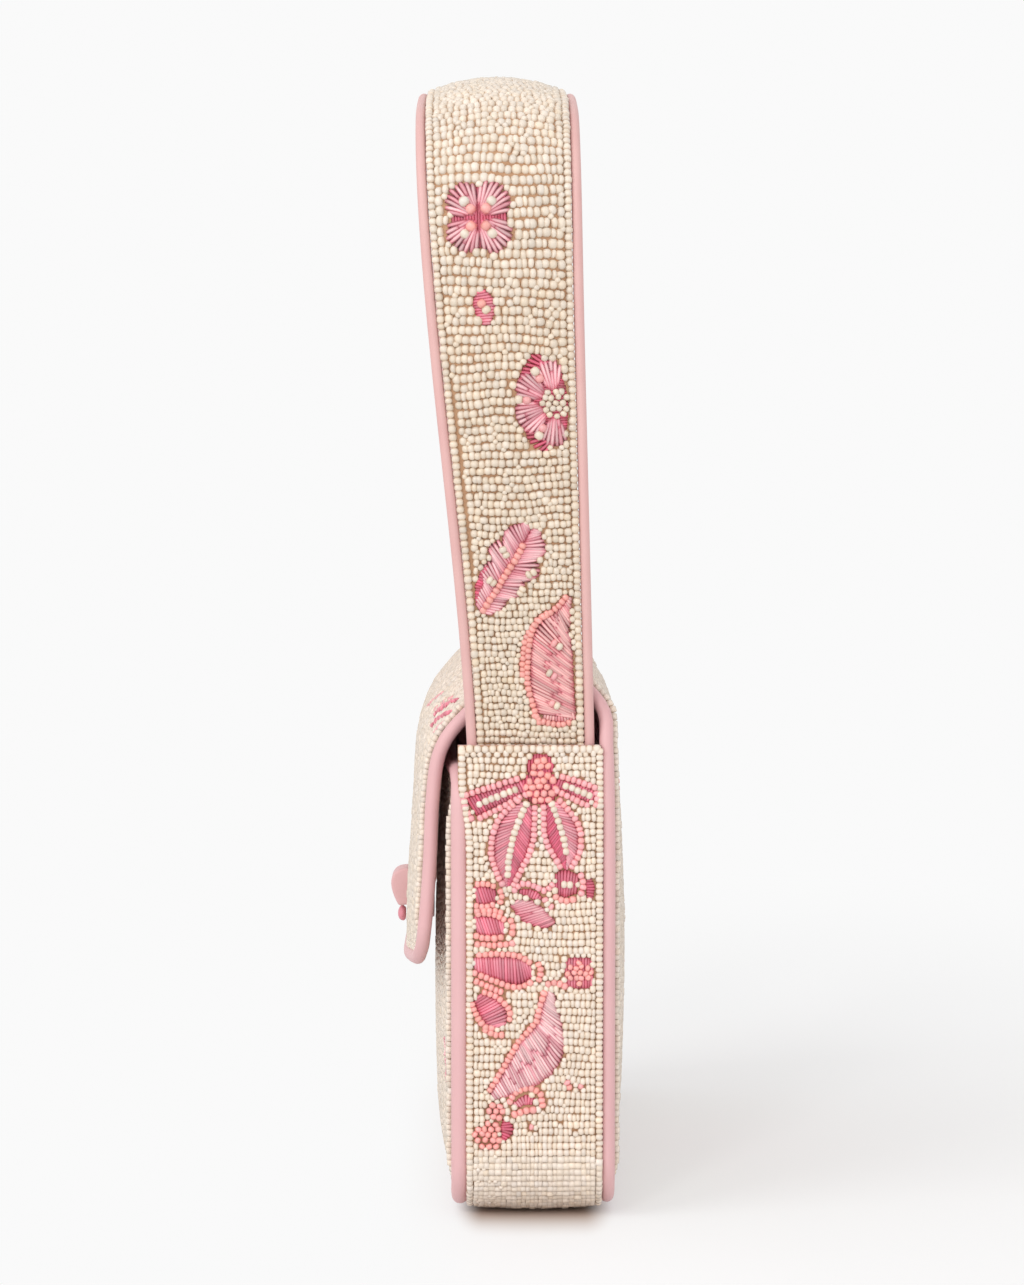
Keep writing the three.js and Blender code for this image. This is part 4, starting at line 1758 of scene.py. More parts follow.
# The end of the gusset: a hanging flower, lobed leaves at the seam and a curved drop below.
# Places are Y and Z on the side that the photograph shows.
GUSSET_FLOWER: tuple[Element, ...] = (
    Cluster((2.3, 136.4), 5.0, CORAL, MAGENTA, 2.3),
    Cluster((2.3, 142.9), 3.5, CORAL, MAGENTA, 2.3),
    pink_line((-20.0, 134.6), (-19.6, 130.0), (-18.4, 125.6)),
    pink_line((19.6, 135.4), (20.0, 132.6), (19.4, 130.0)),
    Stroke(((-2.6, 136.8), (-10.6, 133.3), (-18.2, 130.0)), (1.7, 2.6, 3.1), ROSE, MAGENTA,
           edge=Edge.BOTH, edge_glass=PINK, rib=(IVORY,), rib_span=(0.1, 0.88), rise=0.3),
    Stroke(((7.4, 137.8), (13.2, 135.6), (18.8, 133.2)), (1.4, 2.0, 2.2), MAGENTA, ROSE,
           edge=Edge.BOTH, edge_glass=PINK, rib=(IVORY,), rib_span=(0.16, 0.96), rise=0.3),
    Stroke(((-1.6, 131.8), (-5.4, 123.2), (-7.5, 114.6), (-8.0, 105.2)), (1.5, 5.1, 4.8, 0.6), ROSE,
           MAGENTA, right=MAUVE, split=True, slant=40, edge=Edge.BOTH, edge_glass=PINK,
           rib=(IVORY,), rib_span=(0.0, 0.9), rise=0.6),
    Stroke(((5.4, 132.0), (8.6, 123.6), (10.2, 116.6), (10.2, 110.8)), (1.5, 4.6, 3.8, 0.6), MAUVE,
           right=MAGENTA, split=True, slant=40, edge=Edge.BOTH, edge_glass=PINK,
           rib=(IVORY,), rib_span=(0.0, 0.8), rise=0.6),
    pink_line((-6.6, 103.4), (-3.4, 106.2), (0.4, 105.4), (3.8, 104.0), (6.4, 106.4)),
    Stroke(((-4.2, 103.6), (-1.0, 103.2), (2.4, 101.6)), (0.6, 1.3, 0.7), MAGENTA, ROSE, rise=0.4),
    BeadLine(((3.4, 102.0), (4.4, 99.8), (6.4, 98.6)), (PINK, IVORY)),
)

GUSSET_LEAVES: tuple[Element, ...] = (
    Stroke(((6.8, 106.2), (10.2, 106.2), (13.8, 105.8)), (3.0, 4.2, 3.0), MAGENTA, ROSE, rise=0.3),
    BeadLine(((8.8, 106.1), (12.4, 105.7)), (IVORY,), 1.1, 0.4),
    coral_line((6.2, 102.4), (9.6, 100.8), (13.4, 101.4)),
    pink_line((14.6, 109.6), (15.6, 105.8), (14.9, 102.4)),
    Stroke(((17.6, 107.6), (17.8, 104.4), (17.4, 101.4)), (0.9, 1.4, 0.8), MAGENTA, rise=0.2),
    Stroke(((-6.4, 100.2), (-1.2, 97.2), (6.2, 93.0)), (1.0, 3.6, 1.5), MAUVE, MAGENTA,
           root=BLUSH, slant=40, rise=0.5),
    Stroke(((-18.4, 102.6), (-14.8, 102.5), (-11.8, 102.4)), (2.6, 2.7, 1.8), ROSE, MAGENTA,
           edge=Edge.BOTH, slant=-20, rise=0.6),
    coral_line((-10.6, 104.6), (-9.8, 102.2), (-10.4, 99.8)),
    coral_line((-18.4, 97.6), (-13.4, 97.7), (-9.4, 96.9)),
    Stroke(((-18.4, 93.2), (-13.6, 92.8), (-8.8, 92.0)), (2.5, 3.0, 1.8), ROSE, edge=Edge.BOTH, slant=-25,
           rise=0.6),
    coral_line((-7.2, 95.4), (-6.4, 92.6), (-6.6, 89.6)),
    coral_line((-18.4, 87.2), (-12.0, 86.8), (-5.6, 87.6)),
    Stroke(((-18.4, 81.0), (-11.0, 79.8), (-4.4, 78.4), (-0.4, 78.4)), (1.9, 3.5, 4.0, 1.8), ROSE,
           MAGENTA, root=MAUVE, edge=Edge.BOTH, slant=-15, rise=0.8),
    coral_line((1.4, 81.6), (2.4, 78.6), (1.6, 75.4)),
    coral_line((-18.4, 75.8), (-13.4, 73.4), (-9.4, 72.0)),
    Stroke(((-17.6, 70.6), (-14.4, 67.4), (-11.2, 63.8), (-9.9, 61.6)), (1.5, 3.5, 3.7, 1.7), MAGENTA,
           ROSE, root=MAUVE, edge=Edge.BOTH, slant=15, rise=0.8),
    coral_line((-15.6, 60.6), (-12.6, 58.8), (-9.0, 58.6)),
    Stroke(((9.9, 78.1), (11.6, 78.1), (17.0, 78.1), (18.7, 78.1)), (3.6, 4.7, 4.7, 3.6), ROSE, rise=0.1),
    Cluster((14.4, 78.1), 3.7, CORAL, step=1.9),
)

GUSSET_DROP: tuple[Element, ...] = (
    Stroke(((5.6, 72.4), (5.0, 66.6), (5.2, 61.0), (2.6, 53.4), (-2.9, 46.8), (-8.5, 42.2), (-12.6, 38.8)),
           (1.2, 2.3, 4.2, 6.8, 5.7, 3.2, 1.3), BLUSH, edge=Edge.RIGHT, slant=46, slant_tip=4, rise=0.9),
    coral_line((10.8, 73.4), (7.4, 75.0), (3.8, 74.4)),
    coral_line((-7.8, 36.6), (-5.4, 40.2), (-1.0, 41.6), (2.4, 39.6), (3.0, 35.6)),
    coral_line((-6.6, 33.2), (-2.6, 34.4), (1.0, 34.8)),
    Stroke(((-5.6, 36.0), (-2.6, 37.9), (0.8, 37.4)), (0.9, 1.5, 0.9), MAUVE, MAGENTA, rise=0.2),
    Cluster((-14.0, 27.0), 4.4, CORAL),
    Cluster((-11.6, 34.4), 2.7, CORAL),
    Stroke(((-8.6, 31.8), (-8.2, 28.6), (-9.4, 25.4)), (1.0, 1.9, 0.8), MAGENTA, rise=0.3),
    BeadLine(((10.4, 44.2), (11.6, 41.2)), (PINK, CORAL)),
    pink_line((13.6, 42.0), (16.0, 42.6)),
    BeadLine(((-1.2, 29.6), (1.6, 29.0)), (PINK, IVORY)),
)

# The strap, from its root upwards: a half petal at the seam, a lobed leaf, a half daisy at the seam,
# a bud and a flower with four petals.
HALF_DAISY: Point = (13.8, 106.4)
HALF_DAISY_PETALS = ((97, 20), (147, 24), (207, 30), (264, 19))
STAR: Point = (-6.8, 163.0)
STAR_TURNS = (47, 133, 227, 313)

STRAP_LOW: tuple[Element, ...] = (
    Stroke(((9.2, 7.4), (8.6, 10.2), (7.7, 16.0), (7.4, 21.0), (8.3, 33.8), (10.8, 38.4), (12.8, 42.4),
            (14.8, 46.4)), (5.2, 5.8, 6.4, 6.7, 5.8, 3.6, 1.6, 0.4), PEACH, edge=Edge.LEFT, slant=34,
           rise=0.9),
    Stroke(((4.4, 9.0), (9.0, 8.4), (14.2, 9.2)), (0.9, 1.5, 1.4), PEACH, rise=0.6),
    coral_line((1.0, 9.8), (3.7, 7.3), (8.7, 6.2), (13.0, 7.0)),
    coral_line((-1.8, 21.0), (-0.3, 32.6), (3.3, 37.8), (7.7, 41.8)),
    BeadLine(((8.1, 32.4), (11.1, 30.4)), (PINK, IVORY), 1.2, 1.0),
    BeadLine(((6.1, 23.0), (8.9, 21.0)), (IVORY, PINK), 1.2, 1.0),
    BeadLine(((6.3, 13.4), (9.5, 11.8)), (PINK, IVORY), 1.2, 1.0),
    Stroke(((-13.2, 41.4), (-7.0, 50.4), (-0.8, 59.8), (4.0, 68.2)), (2.6, 6.6, 8.2, 4.2), BLUSH,
           root=MAGENTA, split=True, slant=30, rib=(CORAL,), rib_span=(0.0, 0.82), scallops=4,
           rise=0.8),
    Stroke(((-14.2, 44.6), (-13.4, 50.4), (-10.4, 56.2)), (0.6, 1.1, 0.6), MAGENTA, rise=0.5),
    BeadLine(((-10.8, 52.2), (-8.2, 50.2)), (IVORY,), 1.15, 0.9),
    BeadLine(((1.4, 53.0), (4.4, 54.6)), (IVORY,), 1.15, 0.9),
    BeadLine(((-5.8, 62.2), (-4.2, 58.8)), (IVORY,), 1.15, 0.9),
    BeadLine(((-1.4, 46.8), (0.4, 49.6)), (IVORY,), 1.1, 0.9),
)

STRAP_HIGH: tuple[Element, ...] = (
    Stroke(((12.2, 93.4), (10.4, 96.6), (9.8, 106.4), (10.4, 116.2), (12.2, 119.8)),
           (3.4, 6.0, 7.6, 6.2, 3.6), MAGENTA, rise=0.1),
    *(fan(HALF_DAISY, angle, spread, 4.0, 13.4) for angle, spread in HALF_DAISY_PETALS),
    *spokes(HALF_DAISY, (7.6, 12.6), (120, 174, 240), (PINK, IVORY), 1.3, 0.8),
    Cluster(HALF_DAISY, 4.4, IVORY),
    Stroke(((-5.9, 130.6), (-6.2, 134.0), (-6.6, 137.6), (-7.2, 141.4)), (0.8, 2.8, 3.4, 1.0), MAUVE, ROSE,
           root=MAGENTA, rise=0.4),
    BeadLine(((-7.8, 138.0), (-5.2, 134.2)), (CORAL, IVORY), 1.3, 0.9),
    Stroke(((-15.0, 163.0), (-11.4, 163.0), (-6.8, 163.0), (-2.2, 163.0), (1.4, 163.0)),
           (6.4, 8.6, 8.8, 8.6, 6.4), MAGENTA, rise=0.1),
    *(fan(STAR, angle, 38, 1.4, 11.8) for angle in STAR_TURNS),
    *spokes(STAR, (1.9, 7.6), STAR_TURNS, (CORAL, IVORY), 1.5, 1.0),
)

# Flowers and leaves for the large panels, which the sprays of each panel place, turn and scale.
DIAGONALS = (45, 135, 225, 315)
PANEL_FLOWER: tuple[Element, ...] = (
    *blossom((0.0, 0.0), 6, 13.0, 15.0),
    leaf((9.0, -13.0), (24.0, -27.0), 5.2, BLUSH, ROSE, CORAL),
    leaf((-12.0, -11.0), (-29.0, -18.0), 4.6, ROSE, BLUSH, IVORY),
    coral_line((1.0, -16.0), (2.0, -24.0), (-2.0, -33.0)),
)
PANEL_LEAF: tuple[Element, ...] = (
    Stroke(((0.0, 14.0), (1.6, 6.0), (0.6, -3.0), (-6.0, -12.0), (-12.0, -16.0)), (1.0, 3.6, 5.8, 4.2, 1.0),
           BLUSH, MAUVE, edge=Edge.RIGHT, rise=0.8),
    Cluster((5.6, 13.4), 3.2, CORAL),
    Stroke(((8.0, -2.0), (12.5, -5.0), (16.5, -10.0)), (1.4, 3.6, 1.2), ROSE, MAGENTA, edge=Edge.BOTH),
)
PANEL_STAR: tuple[Element, ...] = (
    *(petal((0.0, 0.0), angle, 0.8, 10.5, 3.8, MAGENTA, BLUSH) for angle in DIAGONALS),
    *spokes((0.0, 0.0), (1.6, 6.4), DIAGONALS, (CORAL, IVORY)),
)
SHOULDER_PETALS: tuple[Element, ...] = (
    Stroke(((-9.0, 3.6), (-16.0, -0.6), (-25.0, -5.6)), (0.4, 1.2, 0.5), MAUVE, ROSE, rise=1.1),
    Stroke(((-14.0, 6.4), (-22.0, 2.4), (-31.0, -1.6)), (0.4, 1.2, 0.5), MAUVE, ROSE, rise=1.1),
    pink_line((22.0, 3.0), (12.0, 0.6), (2.0, -3.0)),
    BeadLine(((-3.0, 2.4), (-9.0, -1.0), (-16.0, -4.6)), (PINK, PINK, IVORY)),
    pink_line((-23.0, 7.4), (-28.0, 4.2), (-33.0, 1.2)),
)
FRONT_BUDS: tuple[Element, ...] = (
    Stroke(((-5.0, 13.0), (-1.6, 6.0), (1.0, -1.0)), (0.4, 1.4, 0.4), BLUSH, MAUVE, rise=1.15),
    Stroke(((2.4, -5.0), (4.6, -11.0), (6.0, -17.0)), (0.4, 1.1, 0.4), BLUSH, MAUVE, rise=1.15),
    BeadLine(((-1.0, 18.0), (1.6, 12.0), (3.0, 6.0)), (PINK, IVORY, IVORY)),
)
LOW_BUDS: tuple[Element, ...] = (
    Stroke(((0.0, -5.0), (0.8, 0.0), (0.0, 5.0)), (0.6, 1.8, 0.6), BLUSH, rise=0.5),
    BeadLine(((4.0, 12.0), (4.6, 17.0)), (PINK, IVORY)),
    pink_line((-3.0, -14.0), (-2.0, -10.0)),
)


# Sub-assemblies


def add_sewing(sewing: Embroidery, finishes: Finishes, name: str, stretch: Point, facets: Counts) -> None:
    """Add the beads and the silk of a stretch as pieces.

    Args:
        sewing: The work on the wall.
        finishes: The materials.
        name: The name of the pieces, with a gap for what they are made of.
        stretch: Where it starts and ends.
        facets: Faces round a bead, and bands of faces along it.
    """
    add_piece(sewing.bead_mesh(name.format("beads"), *stretch, facets), (finishes.glass,))
    silk = sewing.strand_mesh(name.format("silk"), *stretch)
    if silk:
        add_piece(silk, (finishes.silk,))


# Facets of the beads that the photograph shows close up, of the base's and of all others.
NEAR_FACETS = (8, 5)
BASE_FACETS = (8, 3)
FAR_FACETS = (6, 3)
EDGE_POINTS = 900


@dataclass
class Gusset:
    """The beaded band round the sides and the base.

    The rows of leg hold the distance above the bend, the distance between rows, and the length and
    radius of a bead.
    """

    finishes: Finishes
    band: GussetBand = field(default_factory=GussetBand)
    wall: float = 3.2
    grid: Counts = (6, 170)
    columns: Point = (1.2, 0.3)
    column_bead: Point = (1.9, 1.32)
    column_end: float = 1.0
    beside: float = 1.2
    rim: float = 2.5
    rim_bead: Point = (2.2, 1.38)
    rim_points: int = 60
    bend_z: float = 21.0
    wave: float = 0.3
    scatter: float = 0.09
    above_bend: float = 4.0
    leg: Sequence[Row] = ((0.0, 2.15, 1.56, 1.37), (20.0, 2.4, 1.62, 1.4), (60.0, 2.45, 1.64, 1.42),
                          (90.0, 2.25, 1.72, 1.32))
    seed: int = 11

    def build(self) -> None:
        """Make the cloth, the beads and the silk."""
        band = self.band
        mesh = shell_mesh("gusset_cloth", self._place, self.grid, self.wall)
        add_piece(mesh, (self.finishes.backing, self.finishes.leather), ("gusset",))
        sewing = Embroidery(band, self.seed)
        for turn, side in ((0.0, 1.0), (180.0, -1.0)):
            at = (0.0, side * band.at_height(0.0))
            for group in (GUSSET_FLOWER, GUSSET_LEAVES, GUSSET_DROP):
                sewing.work(Spray(group, at, turn))
        for side, inward in zip((-1, 1), self.columns):
            v = np.linspace(-band.end + self.column_end, band.end - self.column_end, EDGE_POINTS)
            edge = np.full_like(v, side * (band.half - inward))
            sewing.string(np.stack([edge, v], axis=1), (IVORY,), *self.column_bead)
        for side in (-1, 1):
            u = np.linspace(-band.half, band.half, self.rim_points)
            edge = np.full_like(u, side * (band.end - self.rim / 2))
            sewing.string(np.stack([u, edge], axis=1), (IVORY,), *self.rim_bead)
        low, high = band.at_height(self.bend_z), band.end - self.rim
        leg = [(low + above, *sizes) for above, *sizes in self.leg]
        plan = RowPlan([(-v, *sizes) for v, *sizes in reversed(leg)] + leg, wave=self.wave,
                       scatter=self.scatter, aligned=(-low - self.above_bend, low + self.above_bend))
        reach = band.half - sum(self.columns) / 2 - self.beside
        shift = (self.columns[0] - self.columns[1]) / 2
        sewing.rows(plan, -high, high, lambda v: reach + 0 * v, lambda v: shift + 0 * v)
        add_sewing(sewing, self.finishes, "gusset_{}_left", (-band.end - 1, -low), FAR_FACETS)
        add_sewing(sewing, self.finishes, "gusset_{}_base", (-low, low), BASE_FACETS)
        add_sewing(sewing, self.finishes, "gusset_{}_right", (low, band.end + 1), NEAR_FACETS)

    def _place(self, across: Array, along: Array, lift: float) -> Array:
        """Give positions for shares across and along the band."""
        v = (2 * along - 1) * self.band.end
        return self.band.place((2 * across - 1) * self.band.half, v, lift)


@dataclass
class Strap:
    """The wide beaded arch with its thin piped edges.

    The rows of leg hold the distance from the rim, the distance between rows, and the length and
    radius of a bead. The colours of the beads are multiplied by a tone, darker and warmer low on the legs.
    """

    finishes: Finishes
    arch: StrapArch = field(default_factory=StrapArch)
    grid: Counts = (8, 190)
    column: float = 0.8
    column_bead: Point = (2.25, 1.38)
    beside: float = 1.4
    tucked: float = 2.0
    wave: float = 0.5
    scatter: float = 0.16
    side_gap: float = 0.9
    gap_opens: Point = (30.0, 48.0)
    gap_closes: Point = (100.0, 124.0)
    low_tone: Triple = (0.9, 0.89, 0.85)
    high_tone: Triple = (0.95, 0.97, 0.97)
    tone_span: Point = (120.0, 180.0)
    seam_gap: float = 0.35
    piping_radius: float = 1.6
    piping_points: int = 230
    piping_sides: int = 14
    piping_sink: float = 1.0
    sinks: Point = (290.0, 355.0)
    leg: Sequence[Row] = ((0.0, 2.05, 1.64, 1.18), (45.0, 2.2, 1.8, 1.27), (85.0, 2.5, 2.0, 1.38),
                          (120.0, 2.85, 2.15, 1.56), (175.0, 3.25, 2.2, 1.84))
    seed: int = 23

    def build(self) -> None:
        """Make the cloth, the beads, the silk and the piping."""
        arch = self.arch
        mesh = shell_mesh("strap_cloth", self._place, self.grid, arch.wall)
        add_piece(mesh, (self.finishes.backing, self.finishes.leather), ("strap",))
        sewing = Embroidery(arch, self.seed, tone=self._tone)
        far = 2 * arch.middle
        for group in (STRAP_LOW, STRAP_HIGH):
            sewing.work(Spray(group))
            sewing.work(Spray(group, (0.0, far), 180.0))
        start, end = -self.tucked, far + self.tucked
        for side in (-1, 1):
            v = np.linspace(start, end, EDGE_POINTS)
            edge = side * (arch.half_at(v) - self.column)
            sewing.string(np.stack([edge, v], axis=1), (IVORY,), *self.column_bead)
        other_leg = tuple((far - v, *sizes) for v, *sizes in reversed(self.leg))
        plan = RowPlan(self.leg + other_leg, wave=self.wave, scatter=self.scatter)
        inset = self.column + self.beside
        sewing.rows(plan, start, end, lambda v: arch.half_at(v) - inset - self._gap(v), self._gap)
        add_sewing(sewing, self.finishes, "strap_{}_right", (start - 2, arch.middle), NEAR_FACETS)
        add_sewing(sewing, self.finishes, "strap_{}_left", (arch.middle, end + 2), FAR_FACETS)
        for side, where in ((-1, "front"), (1, "back")):
            self._piping(side, f"strap_piping_{where}")

    def _up_leg(self, v: Array) -> Array:
        """Give the distance from the nearer end of the strap."""
        return np.minimum(v, 2 * self.arch.middle - v)

    def _gap(self, v: Array) -> Array:
        """Give how far the rows draw back from the front edge, half way up the legs."""
        up = self._up_leg(v)
        return self.side_gap / 2 * ease(up, *self.gap_opens) * (1 - ease(up, *self.gap_closes))

    def _tone(self, v: Array) -> Array:
        """Give what the colours of the beads are multiplied by: darker and warmer low on the legs."""
        share = ease(self._up_leg(v), *self.tone_span)[:, None]
        low, high = np.array(self.low_tone), np.array(self.high_tone)
        return low + (high - low) * share

    def _place(self, across: Array, along: Array, lift: float) -> Array:
        """Give positions for shares across and along the strap, with its inner face left flat."""
        v = self.arch.start + along * (self.arch.end - self.arch.start)
        u = (2 * across - 1) * self.arch.half_at(v)
        if lift <= -self.arch.wall:
            return self.arch.rail(v, u, self.arch.wall / 2 + lift)
        return self.arch.place(u, v, lift)

    def _piping(self, side: int, name: str) -> None:
        """Make the cord along one edge."""
        arch = self.arch
        v = np.linspace(arch.start, arch.end, self.piping_points)
        y = side * (arch.half_at(v) + self.seam_gap + self.piping_radius)
        sunk = -self.piping_sink * ease(arch.height_at(v), *self.sinks)
        path = arch.rail(v, y, sunk)
        outs = arch.rail(v, y, sunk + 1.0) - path
        mesh = tube(path, outs, self.piping_radius, self.piping_sides, False, name + "_cord")
        add_piece(mesh, (self.finishes.strap_leather,), (name,))


@dataclass
class Panel:
    """A beaded panel with leather piping all round it.

    node and cord are the solids that it replaces. row holds the distance between upright rows, and the
    length and radius of a bead. edge_rows are how far inside the edge the two strings beside the piping
    lie, edge_rise is how high the beads stand there and edge_reach how soon that falls.
    """

    finishes: Finishes
    sheet: SwollenSheet
    node: str
    cord: str
    sprays: Sequence[Spray]
    stretches: Sequence[tuple[float, float, str]]
    grid: Counts
    seed: int
    row: Triple = (2.45, 2.15, 1.4)
    column_gap: float = 1.8
    row_gap: float = 1.3
    end_gap: float = 1.0
    piping_radius: float = 2.2
    piping_sides: int = 16
    piping_sink: float = 0.0
    seam_offset: float = 2.55
    foot_lift: float = 1.2
    edge_bead: Point = (1.85, 1.3)
    edge_rows: Point = (0.2, 1.3)
    edge_rise: float = 2.3
    edge_reach: float = 3.0
    edge_ends: Point = (2.0, 14.0)
    crowding: float = 0.35

    def build(self) -> None:
        """Make the cloth, the beads, the silk and the piping."""
        sheet = self.sheet
        mesh = shell_mesh(f"{self.node}_cloth", self._place, self.grid, sheet.wall)
        add_piece(mesh, (self.finishes.panel_backing, self.finishes.leather), (self.node,))
        sewing = Embroidery(sheet, self.seed, self._rise)
        for spray in self.sprays:
            sewing.work(spray)
        for inward in self.edge_rows:
            ring = sheet.outline(-inward)
            sewing.string(np.vstack([ring, ring[:1]]), (IVORY,), *self.edge_bead)
        outermost = sheet.half - self.edge_rows[1] - self.column_gap
        sewing.columns(*self.row, outermost, sheet.end, self._reach, lambda v: sheet.half_at(v) / sheet.half)
        plan = RowPlan(((0.0, *self.row),))
        sewing.fill_gaps(plan, self.end_gap, sheet.end - self.end_gap, self._reach, lambda v: 0 * v)
        for start, end, where in self.stretches:
            add_sewing(sewing, self.finishes, where + "_{}", (start, end), FAR_FACETS)
        self._piping()

    def _reach(self, v: Array) -> Array:
        """Give how far from the middle plain rows may stand at v."""
        return self.sheet.half_at(v) - self.sheet.trim(v) - self.edge_rows[1] - self.row_gap

    def _rise(self, u: Array, v: Array) -> Array:
        """Give how much higher the beads stand beside the piping of the sides."""
        inward = self.sheet.half_at(v) - self.sheet.trim(v) - np.abs(u)
        fall = np.exp(-np.maximum(inward - self.edge_rows[1], 0) / self.edge_reach)
        ends = ease(v, *self.edge_ends) * ease(self.sheet.end - v, *self.edge_ends)
        return self.edge_rise * ease(inward, *self.edge_rows) * fall * ends

    def _place(self, across: Array, along: Array, lift: float) -> Array:
        """Give positions for shares across and along the panel, which crowd towards both ends."""
        turn = 0.5 - 0.5 * np.cos(math.pi * along)
        v = (self.crowding * turn + (1 - self.crowding) * along) * self.sheet.end
        return self.sheet.place((2 * across - 1) * (self.sheet.half_at(v) - self.sheet.trim(v)), v, lift)

    def _piping(self) -> None:
        """Make the cord round the panel."""
        ring = self.sheet.outline(self.seam_offset)
        u, v = ring.T
        v = v + self.foot_lift * (1 - ease(v, -self.seam_offset, self.sheet.foot_corner))
        path = self.sheet.at(u, v, -self.piping_sink)
        outs = self.sheet.at(u, v, 1.0 - self.piping_sink) - path
        mesh = tube(path, outs, self.piping_radius, self.piping_sides, True, f"{self.node}_cord")
        add_piece(mesh, (self.finishes.leather,), (self.cord,))


@dataclass
class Clasp:
    """The folded leather tab and the knot below it, on the middle of the flap."""

    finishes: Finishes
    sheet: WrapSheet
    height: float = 90.5
    gap: float = 0.4
    tab_width: float = 14.0
    tab_rise: float = 6.8
    tab_reach: float = 5.6
    tab_sunk: float = 1.2
    tab_points: int = 15
    tab_bevel: float = 0.9
    sharp: float = 0.8
    knot_radius: float = 2.8
    knot_height: float = 2.8

    def build(self) -> None:
        """Make the tab and the knot, and dress the snap behind them."""
        v = np.array([self.sheet.run_at_height(self.height, True)])
        spot, _, along, out = self.sheet.axes(np.zeros(1), v, self.gap)
        self.spot, self.out, self.up = spot[0], out[0], -along[0]
        add_piece(self._tab(), (self.finishes.leather,), ("clasp_tab",))
        add_piece(self._knot(), (self.finishes.deep_leather,), ("clasp_knot",))
        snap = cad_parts["snap_post"]
        snap.data.materials.clear()
        snap.data.materials.append(self.finishes.leather)

    def _at(self, out: float, up: float, aside: float) -> Vector:
        """Give a position from the clasp's own directions."""
        return Vector(self.spot + out * self.out + up * self.up + np.array([aside, 0.0, 0.0]))

    def _tab(self) -> Mesh:
        """Fold a strip into the tab, with softly rounded edges."""
        rise, reach, sunk = self.tab_rise, self.tab_reach, self.tab_sunk
        upper = [[-sunk, 0.9 * rise], [reach, rise]]
        lower = [[1.3 * reach, 0.2 * rise], [0.42 * reach, -rise]]
        handles = np.array(upper + lower)
        shares = np.linspace(0, 1, self.tab_points)[:, None]
        left = 1 - shares
        weights = np.hstack([left ** 3, 3 * shares * left ** 2, 3 * shares ** 2 * left, shares ** 3])
        profile = np.vstack([weights @ handles, [[-sunk, -0.9 * rise]]])
        shape = bmesh.new()
        ring = [shape.verts.new(self._at(out, up, -self.tab_width / 2)) for out, up in profile]
        side = shape.faces.new(ring)
        swept = bmesh.ops.extrude_face_region(shape, geom=[side])
        moved = [part for part in swept["geom"] if isinstance(part, bmesh.types.BMVert)]
        bmesh.ops.translate(shape, vec=Vector((self.tab_width, 0, 0)), verts=moved)
        bmesh.ops.recalc_face_normals(shape, faces=shape.faces)
        sharp = [edge for edge in shape.edges if edge.calc_face_angle(0) > self.sharp]
        bmesh.ops.bevel(shape, geom=sharp, offset=self.tab_bevel, segments=4, profile=0.5, affect="EDGES",
                        material=-1)
        return mesh_from(shape, "clasp_tab_fold")

    def _knot(self) -> Mesh:
        """Shape the knot as a low dome with three soft turns round it."""
        middle_up = -self.tab_rise - self.gap - self.knot_radius
        shape = bmesh.new()
        bmesh.ops.create_uvsphere(shape, u_segments=24, v_segments=14, radius=1.0)
        for vert in shape.verts:
            x, y, z = vert.co
            turns = 1 - 0.07 * abs(math.sin(1.5 * math.atan2(y, x) + 2.2 * z))
            height = self.knot_height * max(0.0, 0.42 + 0.58 * z)
            vert.co = self._at(height, middle_up + self.knot_radius * y * turns, self.knot_radius * x * turns)
        bmesh.ops.recalc_face_normals(shape, faces=shape.faces)
        return mesh_from(shape, "clasp_knot_dome")


# Soft lights: name, place and side in metres, and power in watts.
LIGHTS = (
    ("key", (0.9, -1.3, 1.3), 1.0, 9.0),
    ("front", (1.9, -0.5, 0.35), 0.8, 5.5),
    ("sparkle", (1.4, -0.5, 1.2), 0.22, 3.2),
    ("fill", (1.5, 0.9, 0.8), 0.5, 2.2),
)


